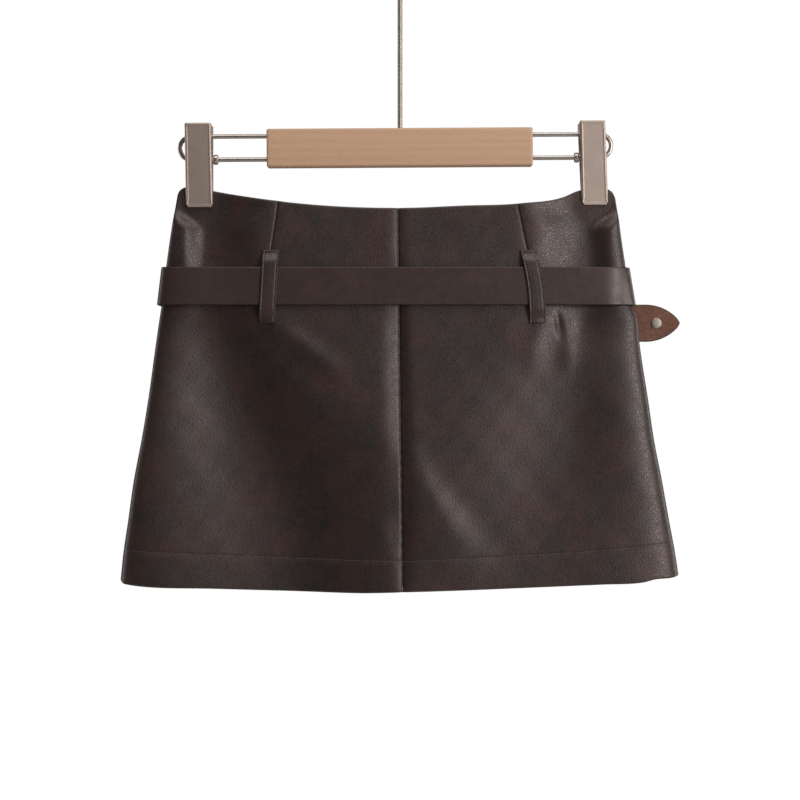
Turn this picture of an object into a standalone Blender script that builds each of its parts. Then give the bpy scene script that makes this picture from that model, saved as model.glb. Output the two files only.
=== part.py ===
"""A faux leather skort hanging by its waist from a wooden hanger with two sprung clips.

+Z is up and the garment's back faces -Y, so +X lies to the right of someone who looks at the back.
The origin is the inside of the hook's crown, where the hanger hangs on its rail. Sizes are written in
millimetres, and add_object turns them into metres.
"""
import math

import bmesh
import bpy
import numpy as np

MM = 0.001

# Cloth and gaps
WALL = 1.3  # faux leather with its knitted backing
LINING = 1.0  # stretch knit of the under-shorts
GAP = 0.3  # between pieces that meet
HEM_START = 0.919  # share of a panel's length below which its hem is turned up inside
ROUND = 6.5  # exponent of the flattened oval that the garment's section follows
JAW = 1.75  # from the middle plane to the cloth's outer face where a clip grips it

# Outline seen from behind, down both side folds
SILHOUETTE = (
    # height, left fold, right fold
    (-206.5, -172.5, 166.5),
    (-227.7, -176.0, 169.8),
    (-247.2, -178.9, 172.2),
    (-267.5, -181.6, 175.2),
    (-299.0, -185.2, 180.2),
    (-306.0, -186.3, 183.6),
    (-326.8, -189.3, 185.7),
    (-372.0, -195.4, 192.3),
    (-403.2, -200.5, 196.8),
    (-434.4, -206.3, 202.8),
    (-465.6, -210.6, 208.3),
    (-489.0, -214.0, 212.6),
    (-510.0, -216.1, 215.7),
)
CENTRE_SEAM = (
    # height, across
    (-223.0, -1.5),
    (-519.0, 2.1),
)
WAIST_EDGE = (
    # across, height
    (-172.5, -206.8),
    (-166.0, -205.8),
    (-146.0, -209.3),
    (-95.0, -217.6),
    (-1.5, -223.1),
    (50.0, -221.2),
    (91.0, -219.6),
    (129.0, -213.6),
    (141.0, -208.8),
    (160.0, -206.9),
    (166.5, -209.6),
)
HEM_EDGE = (
    # across, height
    (-216.1, -509.6),
    (-211.5, -513.6),
    (-142.0, -517.4),
    (-35.0, -520.2),
    (2.1, -519.2),
    (80.0, -516.6),
    (153.6, -513.4),
    (185.0, -511.8),
    (193.0, -509.8),
    (211.0, -507.8),
    (215.7, -506.2),
)
DEPTH = (
    # height, back and front: from the middle plane to the cloth's fullest
    (-215.0, 9.5, 9.0),
    (-268.0, 15.0, 13.5),
    (-300.0, 17.5, 15.5),
    (-330.0, 21.0, 18.5),
    (-372.0, 25.0, 21.5),
    (-434.0, 28.5, 25.0),
    (-520.0, 31.0, 27.0),
)

# Troughs between the side folds and the fullness in the middle, where the clips pull on the cloth
TROUGHS = {
    "back": {
        "left": (
            # height, across, reach towards -X, reach towards +X, depth (below 0: a ridge)
            (-222.0, -156.0, 10.0, 20.0, 1.0),
            (-262.0, -151.0, 20.0, 30.0, 3.0),
            (-297.0, -149.0, 26.0, 26.0, 6.0),
            (-325.0, -139.0, 32.0, 30.0, 11.0),
            (-350.0, -131.0, 42.0, 36.0, 15.0),
            (-372.0, -126.0, 47.0, 40.0, 17.5),
            (-404.0, -115.0, 57.0, 52.0, 18.0),
            (-434.0, -108.0, 60.0, 58.0, 17.5),
            (-465.0, -99.0, 64.0, 56.0, 16.0),
            (-520.0, -92.0, 66.0, 48.0, 12.0),
        ),
        "right": (
            (-222.0, 152.0, 20.0, 10.0, 1.0),
            (-262.0, 150.0, 34.0, 20.0, 3.0),
            (-297.0, 143.0, 26.0, 22.0, 5.5),
            (-325.0, 140.0, 32.0, 32.0, 6.5),
            (-350.0, 136.0, 44.0, 42.0, 7.6),
            (-372.0, 132.0, 48.0, 46.0, 8.2),
            (-404.0, 129.0, 58.0, 48.0, 9.0),
            (-434.0, 122.0, 62.0, 52.0, 8.5),
            (-465.0, 114.0, 66.0, 60.0, 7.0),
            (-520.0, 104.0, 72.0, 66.0, 3.5),
        ),
        "seam": (
            (-222.0, -1.5, 5.0, 5.0, 0.6),
            (-300.0, -0.6, 9.0, 5.0, 1.4),
            (-430.0, 1.0, 14.0, 8.0, 2.2),
            (-519.0, 2.1, 5.0, 5.0, 0.6),
        ),
        "belly": (
            (-396.0, 2.0, 20.0, 12.0, -0.2),
            (-434.0, 16.0, 26.0, 14.0, -2.2),
            (-465.0, 33.0, 32.0, 18.0, -2.8),
            (-498.0, 50.0, 40.0, 22.0, -1.2),
            (-520.0, 60.0, 40.0, 24.0, -0.3),
        ),
    },
    "front": {
        "left": (
            (-222.0, -156.0, 10.0, 20.0, 1.0),
            (-262.0, -150.0, 20.0, 32.0, 3.0),
            (-297.0, -144.0, 24.0, 28.0, 4.5),
            (-350.0, -128.0, 38.0, 34.0, 7.5),
            (-410.0, -104.0, 52.0, 40.0, 7.5),
            (-520.0, -84.0, 70.0, 44.0, 4.0),
        ),
        "right": (
            (-222.0, 152.0, 20.0, 10.0, 1.0),
            (-262.0, 146.0, 30.0, 20.0, 3.0),
            (-297.0, 140.0, 26.0, 24.0, 4.5),
            (-350.0, 131.0, 30.0, 36.0, 7.0),
            (-410.0, 117.0, 40.0, 50.0, 7.5),
            (-520.0, 84.0, 52.0, 66.0, 4.5),
        ),
    },
}

# Where a clip presses the cloth together
PINCH_HALF = 17.5  # the flat stretch on each side of a clip's middle
PINCH_FLAT_DROP = 26.0  # how far below the clip that stretch has run out
PINCH_OUTSIDE = 15.0  # from flat to free towards the side fold
PINCH_INSIDE = 44.0  # and towards the middle
PINCH_DROP = 80.0  # from pressed to free below the clip

# Hanger: everything on it leans a little, the right side higher
LEAN = math.radians(0.35)
WIRE_RADIUS = 1.75
WIRE_HEIGHTS = (-165.7, -183.8)  # upper and lower run
WIRE_ENDS = {"left": -171.6, "right": 164.6}  # middle of the wire where it turns back
BAR_SIZE = (207.0, 13.0, 29.8)
BAR_HEIGHT = -175.4
BAR_EDGE = 1.2
BAR_MIDDLE = -0.2
WIRE_STRAIGHT = 30.0  # out of the bar before the wire's next point
HOOK_WIRE = 1.9
HOOK_BEND = 20.0
HOOK_JOIN = 215  # degrees round the bend where the stem joins it
HOOK_SWING = 36.0  # height over which the stem swings aside
HOOK_PULLS = (12.0, 14.0)  # of that swing's curve at its lower and upper end
HOOK_TIP = -30  # degrees round the bend where the hook ends
CLIPS = {"left": -156.5, "right": 151.6}  # middle of each clip
CLIP_HALF_WIDTH = {"left": 10.5, "right": 10.6}
PLATE = 0.9
CLIP_EDGE = 0.7  # cut off the fold between a plate's face and its sides
CLIP_FLARE = 0.6  # how much wider each half is at its lower end
CLIP_CORNER = 1.2  # taken off each half at its lowest edge
CLIP_CORNER_HEIGHT = 2.5
CLIP_PROFILE = (
    # height, outer face from the middle plane, depth of the folded sides
    (-156.2, 11.0, 5.0),
    (-163.0, 9.6, 5.0),
    (-171.0, 7.8, 4.4),
    (-180.0, 5.6, 2.6),
    (-184.5, 4.7, 2.0),
    (-190.0, 4.4, 1.7),
    (-203.0, 3.6, 1.2),
    (-208.0, 2.95, 0.9),
    (-220.8, 2.95, 0.9),
)
BARREL_RADIUS = 3.4
NECK_RADIUS = 2.45
BEAD_RADIUS = 3.9
BEAD_LENGTH = 3.4
BARREL_SHORT = 1.4  # from the barrel's end to the plate's edge
NECK_OUT = 0.9  # how far the neck stands out past the plate's edge

# Belt, 1 m of strap with its buckle at the front
BELT_HEIGHT = -284.0
BELT_WIDTH = 29.4
BELT = 2.2
BELT_CLEARANCE = 0.6
BELT_ROUND = 12.0  # exponent of its own oval, blunter at the side folds than the cloth
BELT_DIPS = (
    # on the back: across, reach towards -X, reach towards +X, depth (below 0: it stands out)
    (-184.0, 30.0, 36.0, -3.5),
    (172.0, 50.0, 20.0, 2.6),
)
BUCKLE_BAR = 1.5
BUCKLE_HEEL = -14.0  # the bar that the strap is folded round
BUCKLE_LENGTH = 24.0
BUCKLE_LIFT = 1.6  # how much further out its far bar is than the heel bar
PRONG = 1.1
PRONG_SLOTS = (
    # from the heel bar: across, and out from the belt's inner face
    (-4.3, 4.0, 5.0, 8.2),
    (-15.5, -4.4, 2.6, 11.5),
)
PRONG_LINE = (
    # across from the heel bar, out from the heel bar's middle
    (0.0, 2.95),
    (-4.0, 3.0),
    (-8.0, 3.1),
    (-12.0, 3.8),
    (-16.0, 4.4),
    (-20.0, 4.6),
    (-24.0, 4.5),
    (-27.0, 4.0),
)
TAIL_OUT = 7.8  # from the belt to the middle of its tail where that lies over a loop
TAIL_DROP = -27.4  # how much lower the free end hangs
TAIL_BENDS = -8.0  # where across it starts to drop, and over what width
TAIL_EASE = 168.0
TAIL_STRAIGHT = 52.0  # where its last run starts
TAIL_LEAVES = 118.0  # where it parts from the belt's curve
TAIL_BACK = 6.0  # how far its tip then comes back towards the middle plane
RING_BREAKS = (-72.0, 46.0)  # across the front, the stretch that the buckle end and the tail take
TAIL_TIP = 220.6
TIP_LENGTH = 24.0
RIVET_PLACE = 202.2
RIVET_HEAD = 4.2
RIVET_SHANK = 1.3

# Belt loops
LOOP_WIDTH = 12.4
LOOP = 1.8
LOOPS = {
    # name: panel, then the middle of the loop at its top, at the belt and at its lower end
    "loop_back_left": ("back", (-99.5, -101.0, -102.4)),
    "loop_back_right": ("back", (99.2, 104.4, 106.2)),
    "loop_front_left": ("front", (-101.0, -102.0, -103.0)),
    "loop_front_right": ("front", (100.0, 102.0, 104.0)),
}
LOOP_HEIGHTS = (-256.0, -284.0, -312.7)
LOOP_SEWN = 1.5  # flat on the panel at each end
LOOP_RISE = 9.5  # from there up to the belt's face
LOOP_UNDER = 12.0  # how far from each end the belt's face is read
LOOP_ROWS = ((-256.0, -268.0, 6), (-276.0, -292.0, 3), (-300.0, -312.7, 6))  # from, to, count

# Under-shorts
SHORTS_TOP = -243.0
SHORTS_HEM = -494.0
CROTCH = -464.0
LEG_GAP = 1.2  # from the middle to each leg's inner side
SHORTS_SIDE = 12.0  # from a side fold in to the shorts' side
SHORTS_UNDER = WALL + GAP + 0.5  # from the skirt's outer face in to the shorts' outer face
SHORTS_FREE = 3.5  # how much further in the shorts hang below the belt
SHORTS_WIDER = 3.0  # and how much nearer the side fold
SHORTS_EASE = 60.0  # the height over which both change

COLOURS = {
    # material: base colour, roughness, metallic
    "leather": ((0.034, 0.024, 0.021), 0.45, 0.0),
    "belt_leather": ((0.041, 0.027, 0.024), 0.38, 0.0),
    "knit": ((0.020, 0.017, 0.016), 0.9, 0.0),
    "nickel": ((0.46, 0.42, 0.38), 0.3, 1.0),
    "wood": ((0.49, 0.30, 0.19), 0.5, 0.0),
}


def spline(table, column, at):
    """A table's column on a smooth curve through its rows, read where the first column equals at.

    Each slope is the length-weighted mean of the two chords beside it, at most three times the flatter
    one, and level at a turn, so the curve never passes its rows.
    """
    rows = np.array(sorted(table), float)
    x, y = rows[:, 0], rows[:, column]
    step = np.diff(x)
    chord = np.diff(y) / step
    slope = np.empty(len(x))
    slope[0], slope[-1] = chord[0], chord[-1]
    mean = (step[1:] * chord[:-1] + step[:-1] * chord[1:]) / (step[:-1] + step[1:])
    steepest = 3 * np.minimum(np.abs(chord[:-1]), np.abs(chord[1:]))
    slope[1:-1] = np.where(chord[:-1] * chord[1:] > 0, np.clip(mean, -steepest, steepest), 0)
    at = np.clip(at, x[0], x[-1])
    k = np.clip(np.searchsorted(x, at) - 1, 0, len(step) - 1)
    s = (at - x[k]) / step[k]
    return (
        (1 + 2 * s) * (1 - s) ** 2 * y[k]
        + s * (1 - s) ** 2 * step[k] * slope[k]
        + s**2 * (3 - 2 * s) * y[k + 1]
        - s**2 * (1 - s) * step[k] * slope[k + 1]
    )


def smooth(value):
    """0 below 0, 1 above 1, and an even S between them."""
    value = np.clip(value, 0, 1)
    return value * value * (3 - 2 * value)


def oval_columns(count, exponent=ROUND):
    """count + 1 places along a quarter of an oval section, as (share of the width, share of the depth).

    They are evenly spaced along the quarter drawn three times as wide as deep, so more lie in its bend.
    """
    angle = np.linspace(0, math.pi / 2, 4000)
    wide = np.sin(angle) ** (2 / exponent)
    deep = np.cos(angle) ** (2 / exponent)
    along = np.concatenate([[0], np.cumsum(np.hypot(3 * np.diff(wide), np.diff(deep)))])
    even = np.linspace(0, along[-1], count + 1)
    return np.interp(even, along, wide), np.interp(even, along, deep)


def oval(share, exponent=ROUND):
    """The share of the depth that an oval section has at a share of its width."""
    return np.clip(1 - np.clip(np.abs(share), 0, 1) ** exponent, 0, 1) ** (1 / exponent)


def widths(z):
    """Where the centre seam lies at a height, and how far the left and right folds are from it."""
    seam = spline(CENTRE_SEAM, 1, z)
    return seam, seam - spline(SILHOUETTE, 1, z), spline(SILHOUETTE, 2, z) - seam


def fullness(panel, z):
    """The depth from the middle plane to the section's outer face before any fold."""
    return spline(DEPTH, 1 if panel == "back" else 2, z)


def clip_pinch(x, z):
    """1 where a clip presses the cloth together, easing to 0 around it and below it."""
    below = CLIP_PROFILE[-1][0] - z
    flat = PINCH_HALF * (1 - smooth(below / PINCH_FLAT_DROP))
    pinch = np.zeros(np.broadcast(x, z).shape)
    for middle in CLIPS.values():
        outside = (x - middle) * middle > 0
        ease = np.where(outside, PINCH_OUTSIDE, PINCH_INSIDE)
        sideways = 1 - smooth((np.abs(x - middle) - flat) / ease)
        pinch = np.maximum(pinch, sideways * (1 - smooth((below - 1) / PINCH_DROP)))
    return pinch


def section_depth(panel, x, z):
    """The depth from the middle plane that the section is scaled to at (x, z), with folds and clips."""
    depth = fullness(panel, z)
    for trough in TROUGHS[panel].values():
        away = x - spline(trough, 1, z)
        reach = np.where(away < 0, spline(trough, 2, z), spline(trough, 3, z))
        depth = depth - spline(trough, 4, z) * np.exp(-((away / reach) ** 2))
    pinch = clip_pinch(x, z)
    return JAW * pinch + depth * (1 - pinch)


def outer_face(panel, x, z):
    """How far a panel's outer face is from the middle plane."""
    seam, left, right = widths(z)
    share = (x - seam) / np.where(x < seam, left, right)
    return GAP / 2 + (section_depth(panel, x, z) - GAP / 2) * oval(share)


def toward(panel):
    """-1 for the back, which faces -Y, and 1 for the front."""
    return -1 if panel == "back" else 1


def panel_points(panel, share, deep, z, inset, split):
    """Points of a panel on the section moved in by inset, at shares of the width from -1 to 1.

    deep is the section's share of the depth there, and split moves the column at the centre seam aside.
    """
    seam, left, right = widths(z)
    half = np.where(share < 0, left, right)
    x = seam + share * (half - inset) + split * (1 - np.abs(share))
    y = GAP / 2 + (section_depth(panel, x, z) - inset - GAP / 2) * deep
    return np.stack([x, toward(panel) * y, z], axis=-1)


def panel_grid(panel, columns, rows, side=0):
    """The outer and inner faces of a panel: heights run from the waist's edge to the hem's."""
    seam, left, right = widths(-215.0)
    at_waist = seam + columns * np.where(columns < 0, left, right)
    seam, left, right = widths(-515.0)
    at_hem = seam + columns * np.where(columns < 0, left, right)
    top, bottom = spline(WAIST_EDGE, 1, at_waist), spline(HEM_EDGE, 1, at_hem)
    z = top + rows[:, None] * (bottom - top)
    inset = np.where(rows[:, None] > HEM_START, 2 * WALL, WALL) + 0 * z
    deep = np.broadcast_to(oval(columns), z.shape)
    split = side * GAP / 2
    outer = panel_points(panel, columns + 0 * z, deep, z, 0, split)
    inner = panel_points(panel, columns + 0 * z, deep, z, inset, split)
    return outer, inner


def grid_index(grid):
    """The place of each point of a (rows, columns, 3) grid in a flat list of its points."""
    return np.arange(grid.shape[0] * grid.shape[1]).reshape(grid.shape[:2])


def walled(outer, inner, more=()):
    """Points and faces of a closed wall between two grids of the same shape, (rows, columns, 3).

    more has further faces between points of the grid, and the wall closes round every free edge.
    """
    index = grid_index(outer)
    quads = np.stack([index[:-1, :-1], index[:-1, 1:], index[1:, 1:], index[1:, :-1]], -1)
    faces = [tuple(face) for face in quads.reshape(-1, 4).tolist()]
    faces += [tuple(map(int, face)) for face in more]
    edges = {edge for face in faces for edge in zip(face, face[1:] + face[:1])}
    count = index.size
    rim = [(b, a, a + count, b + count) for a, b in sorted(edges) if (b, a) not in edges]
    within = [tuple(corner + count for corner in reversed(face)) for face in faces]
    return np.concatenate([outer.reshape(-1, 3), inner.reshape(-1, 3)]), faces + within + rim


def ring_swept(rings):
    """Points and faces of a solid through closed rings, (stations, points, 3), with both ends capped."""
    stations, count = rings.shape[:2]
    index = np.arange(stations * count).reshape(stations, count)
    beside = np.roll(index, -1, axis=1)
    quads = np.stack([index[:-1], beside[:-1], beside[1:], index[1:]], -1).reshape(-1, 4).tolist()
    return rings.reshape(-1, 3), quads + [index[0, ::-1].tolist(), index[-1].tolist()]


def material(name):
    """The named material, made the first time that it is asked for."""
    if name in bpy.data.materials:
        return bpy.data.materials[name]
    colour, roughness, metallic = COLOURS[name]
    made = bpy.data.materials.new(name)
    made.use_nodes = True
    shader = made.node_tree.nodes["Principled BSDF"]
    shader.inputs["Base Color"].default_value = (*colour, 1)
    shader.inputs["Roughness"].default_value = roughness
    shader.inputs["Metallic"].default_value = metallic
    return made


def add_object(name, points, faces, finish, round_piece=True):
    """A mesh object from points in millimetres, with its faces turned outwards."""
    mesh = bpy.data.meshes.new(name)
    mesh.from_pydata((np.asarray(points) * MM).tolist(), [], faces)
    shape = bmesh.new()
    shape.from_mesh(mesh)
    bmesh.ops.recalc_face_normals(shape, faces=shape.faces)
    shape.to_mesh(mesh)
    shape.free()
    if round_piece:
        mesh.shade_smooth()
        mesh.set_sharp_from_angle(angle=math.radians(40))
    mesh.materials.append(material(finish))
    made = bpy.data.objects.new(name, mesh)
    bpy.context.scene.collection.objects.link(made)
    return made


def cut(made, points, faces):
    """Cuts a closed shape out of an object, for good."""
    cutter = add_object("cutter", points, faces, "nickel", round_piece=False)
    cutter.hide_render = True
    cutter.display_type = "WIRE"
    boolean = made.modifiers.new("cut", "BOOLEAN")
    boolean.operation = "DIFFERENCE"
    boolean.object = cutter
    bpy.context.view_layer.update()
    evaluated = made.evaluated_get(bpy.context.evaluated_depsgraph_get())
    whole = bpy.data.meshes.new_from_object(evaluated)
    made.modifiers.clear()
    made.data = whole
    bpy.data.objects.remove(cutter)


def box_shape(low, high):
    """Points and faces of a box between two corners."""
    (x0, y0, z0), (x1, y1, z1) = low, high
    ring = [(x0, y0), (x1, y0), (x1, y1), (x0, y1)]
    return ring_swept(np.array([[(x, y, z) for x, y in ring] for z in (z0, z1)]))


def frames(path):
    """Unit tangents of a path, from the middle of each point's two neighbours."""
    tangent = np.gradient(path, axis=0)
    return tangent / np.linalg.norm(tangent, axis=1, keepdims=True)


def tube(path, radius, sides=8):
    """A round solid along a path that lies in one plane facing Y."""
    path = np.asarray(path, float)
    tangent = frames(path)
    beside = np.cross(tangent, (0, 1, 0))
    angle = (np.arange(sides) * 2 * math.pi / sides)[None, :, None]
    circle = np.cos(angle) * beside[:, None] + np.sin(angle) * np.array([0, 1, 0])
    return ring_swept(path[:, None] + radius * circle)


def leaned(points):
    """Points of the hanger, turned about its stem by the hanger's lean."""
    points = np.array(points, float)
    x, z = points[..., 0].copy(), points[..., 2] - BAR_HEIGHT
    points[..., 0] = x * math.cos(LEAN) - z * math.sin(LEAN)
    points[..., 2] = x * math.sin(LEAN) + z * math.cos(LEAN) + BAR_HEIGHT
    return points


# ---- The garment


def row_heights():
    """Rows down a panel, as shares of its length, with a step where the hem is turned up."""
    upper = np.concatenate([np.linspace(0, 0.16, 5)[:-1], np.linspace(0.16, HEM_START - 0.002, 14)])
    return np.concatenate([upper, [HEM_START + 0.002, (1 + HEM_START) / 2, 1.0]])


def make_panels():
    """The two backs, which meet at the centre seam, and the front."""
    share = np.sort(np.concatenate([oval_columns(20)[0], [0.02, 0.05]]))
    for name, side in (("back_left", -1), ("back_right", 1)):
        add_object(name, *walled(*panel_grid("back", side * share, row_heights(), side)), "leather")
    share = oval_columns(16)[0]
    columns = np.concatenate([-share[:0:-1], share])
    add_object("front", *walled(*panel_grid("front", columns, row_heights())), "leather")


def shorts_points(side, share, z, inset):
    """One leg's points round its back, side and front, on the leg's outer face moved in by inset."""
    lower = smooth((SHORTS_TOP - SHORTS_SIDE - z) / SHORTS_EASE)
    sideways = SHORTS_SIDE - SHORTS_WIDER * lower + inset
    inwards = SHORTS_UNDER + SHORTS_FREE * lower
    near = LEG_GAP + inset
    seam, left, right = widths(z)
    x = seam + side * (near + ((left if side < 0 else right) - sideways - near) * share)
    back, front = (
        (np.maximum(section_depth(panel, x, z) - inwards, LINING + GAP) - inset) * oval(share)
        for panel in ("back", "front")
    )
    return np.concatenate([np.stack([x, -back, z], -1), np.stack([x, front, z], -1)[:, -2::-1]], axis=1)


def make_shorts():
    """Two legs of one layer, each open at the middle down to the crotch and a closed tube below it."""
    share = oval_columns(20)[0]
    above, below = np.linspace(SHORTS_TOP, CROTCH, 10), np.linspace(CROTCH, SHORTS_HEM, 3)[1:]
    z = np.concatenate([above, below])[:, None] + 0 * share
    for name, side in (("shorts_left", -1), ("shorts_right", 1)):
        outer, inner = (shorts_points(side, share, z, inset) for inset in (0, LINING))
        index = grid_index(outer)
        thigh = [
            (index[row, -1], index[row, 0], index[row + 1, 0], index[row + 1, -1])
            for row in range(len(above) - 1, len(z) - 1)
        ]
        add_object(name, *walled(outer, inner, thigh), "knit")


def belt_dip(x):
    """How far the belt sags in at the side folds of the back."""
    return sum(
        depth * np.exp(-(((x - middle) / np.where(x < middle, before, after)) ** 2))
        for middle, before, after, depth in BELT_DIPS
    )


def belt_face(x, z, panel):
    """How far the belt's inner face is from the middle plane: a blunter section with no folds."""
    seam, left, right = widths(z)
    share = (x - seam) / (np.where(x < seam, left, right) + BELT_CLEARANCE)
    dip = belt_dip(x) if panel == "back" else 0
    return (fullness(panel, z) + BELT_CLEARANCE - dip) * oval(share, BELT_ROUND)


def belt_ring(z, columns):
    """The belt's inner line at a height, from the front's middle round the right, back and left."""
    share, deep = oval_columns(columns, BELT_ROUND)
    seam, left, right = widths(z)
    right_x = seam + (right + BELT_CLEARANCE) * share
    left_x = seam - (left + BELT_CLEARANCE) * share
    front, back = (fullness(panel, z) + BELT_CLEARANCE for panel in ("front", "back"))
    quarters = [
        (right_x, front * deep),
        (right_x[-2::-1], ((belt_dip(right_x) - back) * deep)[-2::-1]),
        (left_x[1:], ((belt_dip(left_x) - back) * deep)[1:]),
        (left_x[-2::-1], front * deep[-2::-1]),
    ]
    return np.concatenate([np.stack(quarter, -1) for quarter in quarters])


def buckle_end():
    """The strap's folded end on the buckle: (across, middle of the strap out from the belt's inner face)."""
    bend = BUCKLE_BAR + GAP + BELT / 2
    layer = BELT / 2
    turn = np.radians(np.linspace(-90, -270, 9))
    nose = np.stack([BUCKLE_HEEL + bend * np.cos(turn), layer + bend + bend * np.sin(turn)], -1)
    under = [(16.0, layer), (2.0, layer)]
    over = [(-8.0, 6.6), (-1.0, 5.2), (7.0, 4.0), (15.0, 3.7), (22.0, 3.2), (30.0, 1.9), (38.0, layer)]
    return np.concatenate([under, nose, over])


def tail_end():
    """The strap through the buckle and on to its tip: (across, middle of the strap out from the belt)."""
    rising = [(-64.0, 1.1), (-52.0, 1.2), (-44.0, 1.5), (-38.0, 2.3), (-32.0, 4.0), (-26.0, 6.6)]
    over = [(-21.0, 8.7), (-17.0, 9.8), (-13.0, 10.1), (-8.0, 9.9), (-2.0, 9.1)]
    settling = [(6.0, 7.8), (16.0, 7.3), (28.0, 7.4), (42.0, 7.6)]
    return np.array(rising + over + settling)


def on_front(stations, z):
    """Stations given out from the front of the belt as points (x, y)."""
    return np.stack([stations[:, 0], belt_face(stations[:, 0], z, "front") + stations[:, 1]], -1)


def tail_run():
    """Places across of the strap's straight end, close together where it narrows to its tip."""
    tip = TIP_LENGTH * np.array([0.86, 0.7, 0.54, 0.38, 0.24, 0.12, 0.04, 0.0])
    return np.concatenate([np.linspace(TAIL_STRAIGHT, TAIL_TIP - TIP_LENGTH, 10), TAIL_TIP - tip])


def strap_path():
    """The strap's middle line at its upper and its lower edge, as (x, y), and where on it the tail starts.

    The two differ because the strap lies on a garment that widens downwards.
    """
    outline = belt_ring(BELT_HEIGHT, 20)
    first_half = np.arange(len(outline)) < len(outline) // 2
    at_left, at_right = RING_BREAKS
    on_ring = (outline[:, 1] < 0) | np.where(first_half, outline[:, 0] > at_right, outline[:, 0] < at_left)
    run = tail_run()
    held = belt_face(np.minimum(run, TAIL_LEAVES), BELT_HEIGHT, "front") + TAIL_OUT
    tail = np.stack([run, held - np.interp(run, [TAIL_LEAVES, TAIL_TIP], [0, TAIL_BACK])], -1)
    edges = []
    for z in (BELT_HEIGHT + BELT_WIDTH / 2, BELT_HEIGHT - BELT_WIDTH / 2):
        ring = belt_ring(z, 20)
        along = np.gradient(ring, axis=0)
        along /= np.linalg.norm(along, axis=1, keepdims=True)
        ring = ring + BELT / 2 * np.stack([-along[:, 1], along[:, 0]], -1)
        ends = on_front(buckle_end(), z), on_front(tail_end(), z)
        edges.append(np.concatenate([ends[0], ring[on_ring], ends[1], tail]))
    return edges[0], edges[1], len(edges[0]) - len(tail) - len(tail_end())


def tip_half_width(from_tip):
    """Half the strap's width near its pointed end, where each side is an arc tangent to the strap's edge."""
    half = BELT_WIDTH / 2
    arc = (TIP_LENGTH**2 + half**2) / (2 * half)
    inside = np.clip(TIP_LENGTH - from_tip, 0, TIP_LENGTH)
    return np.maximum(np.sqrt(arc**2 - inside**2) - (arc - half), 0.5)


def make_belt():
    """One strap: folded round the buckle's bar, once round the garment, through the buckle and on."""
    upper, lower, tail_start = strap_path()
    middle = (upper + lower) / 2
    along = np.gradient(middle, axis=0)
    along /= np.linalg.norm(along, axis=1, keepdims=True)
    outwards = np.stack([-along[:, 1], along[:, 0], 0 * along[:, 0]], -1) * BELT / 2
    in_tail = np.arange(len(middle)) >= tail_start
    sag = np.where(in_tail, TAIL_DROP * smooth((middle[:, 0] - TAIL_BENDS) / TAIL_EASE), 0)
    half = np.where(in_tail, tip_half_width(TAIL_TIP - middle[:, 0]), BELT_WIDTH / 2)
    top = np.concatenate([upper, (BELT_HEIGHT + sag + half)[:, None]], axis=1)
    low = np.concatenate([lower, (BELT_HEIGHT + sag - half)[:, None]], axis=1)
    rings = np.stack([top + outwards, top - outwards, low - outwards, low + outwards], axis=1)
    belt = add_object("belt", *ring_swept(rings), "belt_leather")
    face = belt_face(BUCKLE_HEEL, BELT_HEIGHT, "front")
    slot = PRONG + 2 * GAP
    for x0, x1, y0, y1 in PRONG_SLOTS:
        low_corner = (BUCKLE_HEEL + x0, face + y0, BELT_HEIGHT - slot)
        cut(belt, *box_shape(low_corner, (BUCKLE_HEEL + x1, face + y1, BELT_HEIGHT + slot)))
    hole = [rivet_place() + np.array([0, along, 0]) for along in (-6, 6)]
    cut(belt, *round_bar(hole, [RIVET_SHANK + GAP] * 2, 12))


def rivet_place():
    """The middle of the rivet in the strap's tail."""
    line = strap_path()[0][-len(tail_run()):]
    y = np.interp(RIVET_PLACE, line[:, 0], line[:, 1])
    return np.array([RIVET_PLACE, y, BELT_HEIGHT + TAIL_DROP])


def round_bar(places, radii, sides):
    """A turned solid along Y, with a radius at each place."""
    angle = np.arange(sides) * 2 * math.pi / sides
    circle = np.stack([np.cos(angle), 0 * angle, np.sin(angle)], -1)
    return ring_swept(np.array([place + radius * circle for place, radius in zip(places, radii)]))


def make_rivet():
    """A rivet through the strap's tail: a low head on each side."""
    middle = rivet_place()
    face = BELT / 2 + GAP
    profile = (
        # along Y, radius
        (-face - 1.3, RIVET_HEAD * 0.55),
        (-face - 1.0, RIVET_HEAD * 0.86),
        (-face - 0.4, RIVET_HEAD),
        (-face, RIVET_HEAD),
        (-face, RIVET_SHANK),
        (face, RIVET_SHANK),
        (face, RIVET_HEAD),
        (face + 0.4, RIVET_HEAD),
        (face + 1.0, RIVET_HEAD * 0.86),
        (face + 1.3, RIVET_HEAD * 0.55),
    )
    places = [middle + np.array([0, along, 0]) for along, _ in profile]
    add_object("tail_rivet", *round_bar(places, [radius for _, radius in profile], 20), "nickel")


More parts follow.
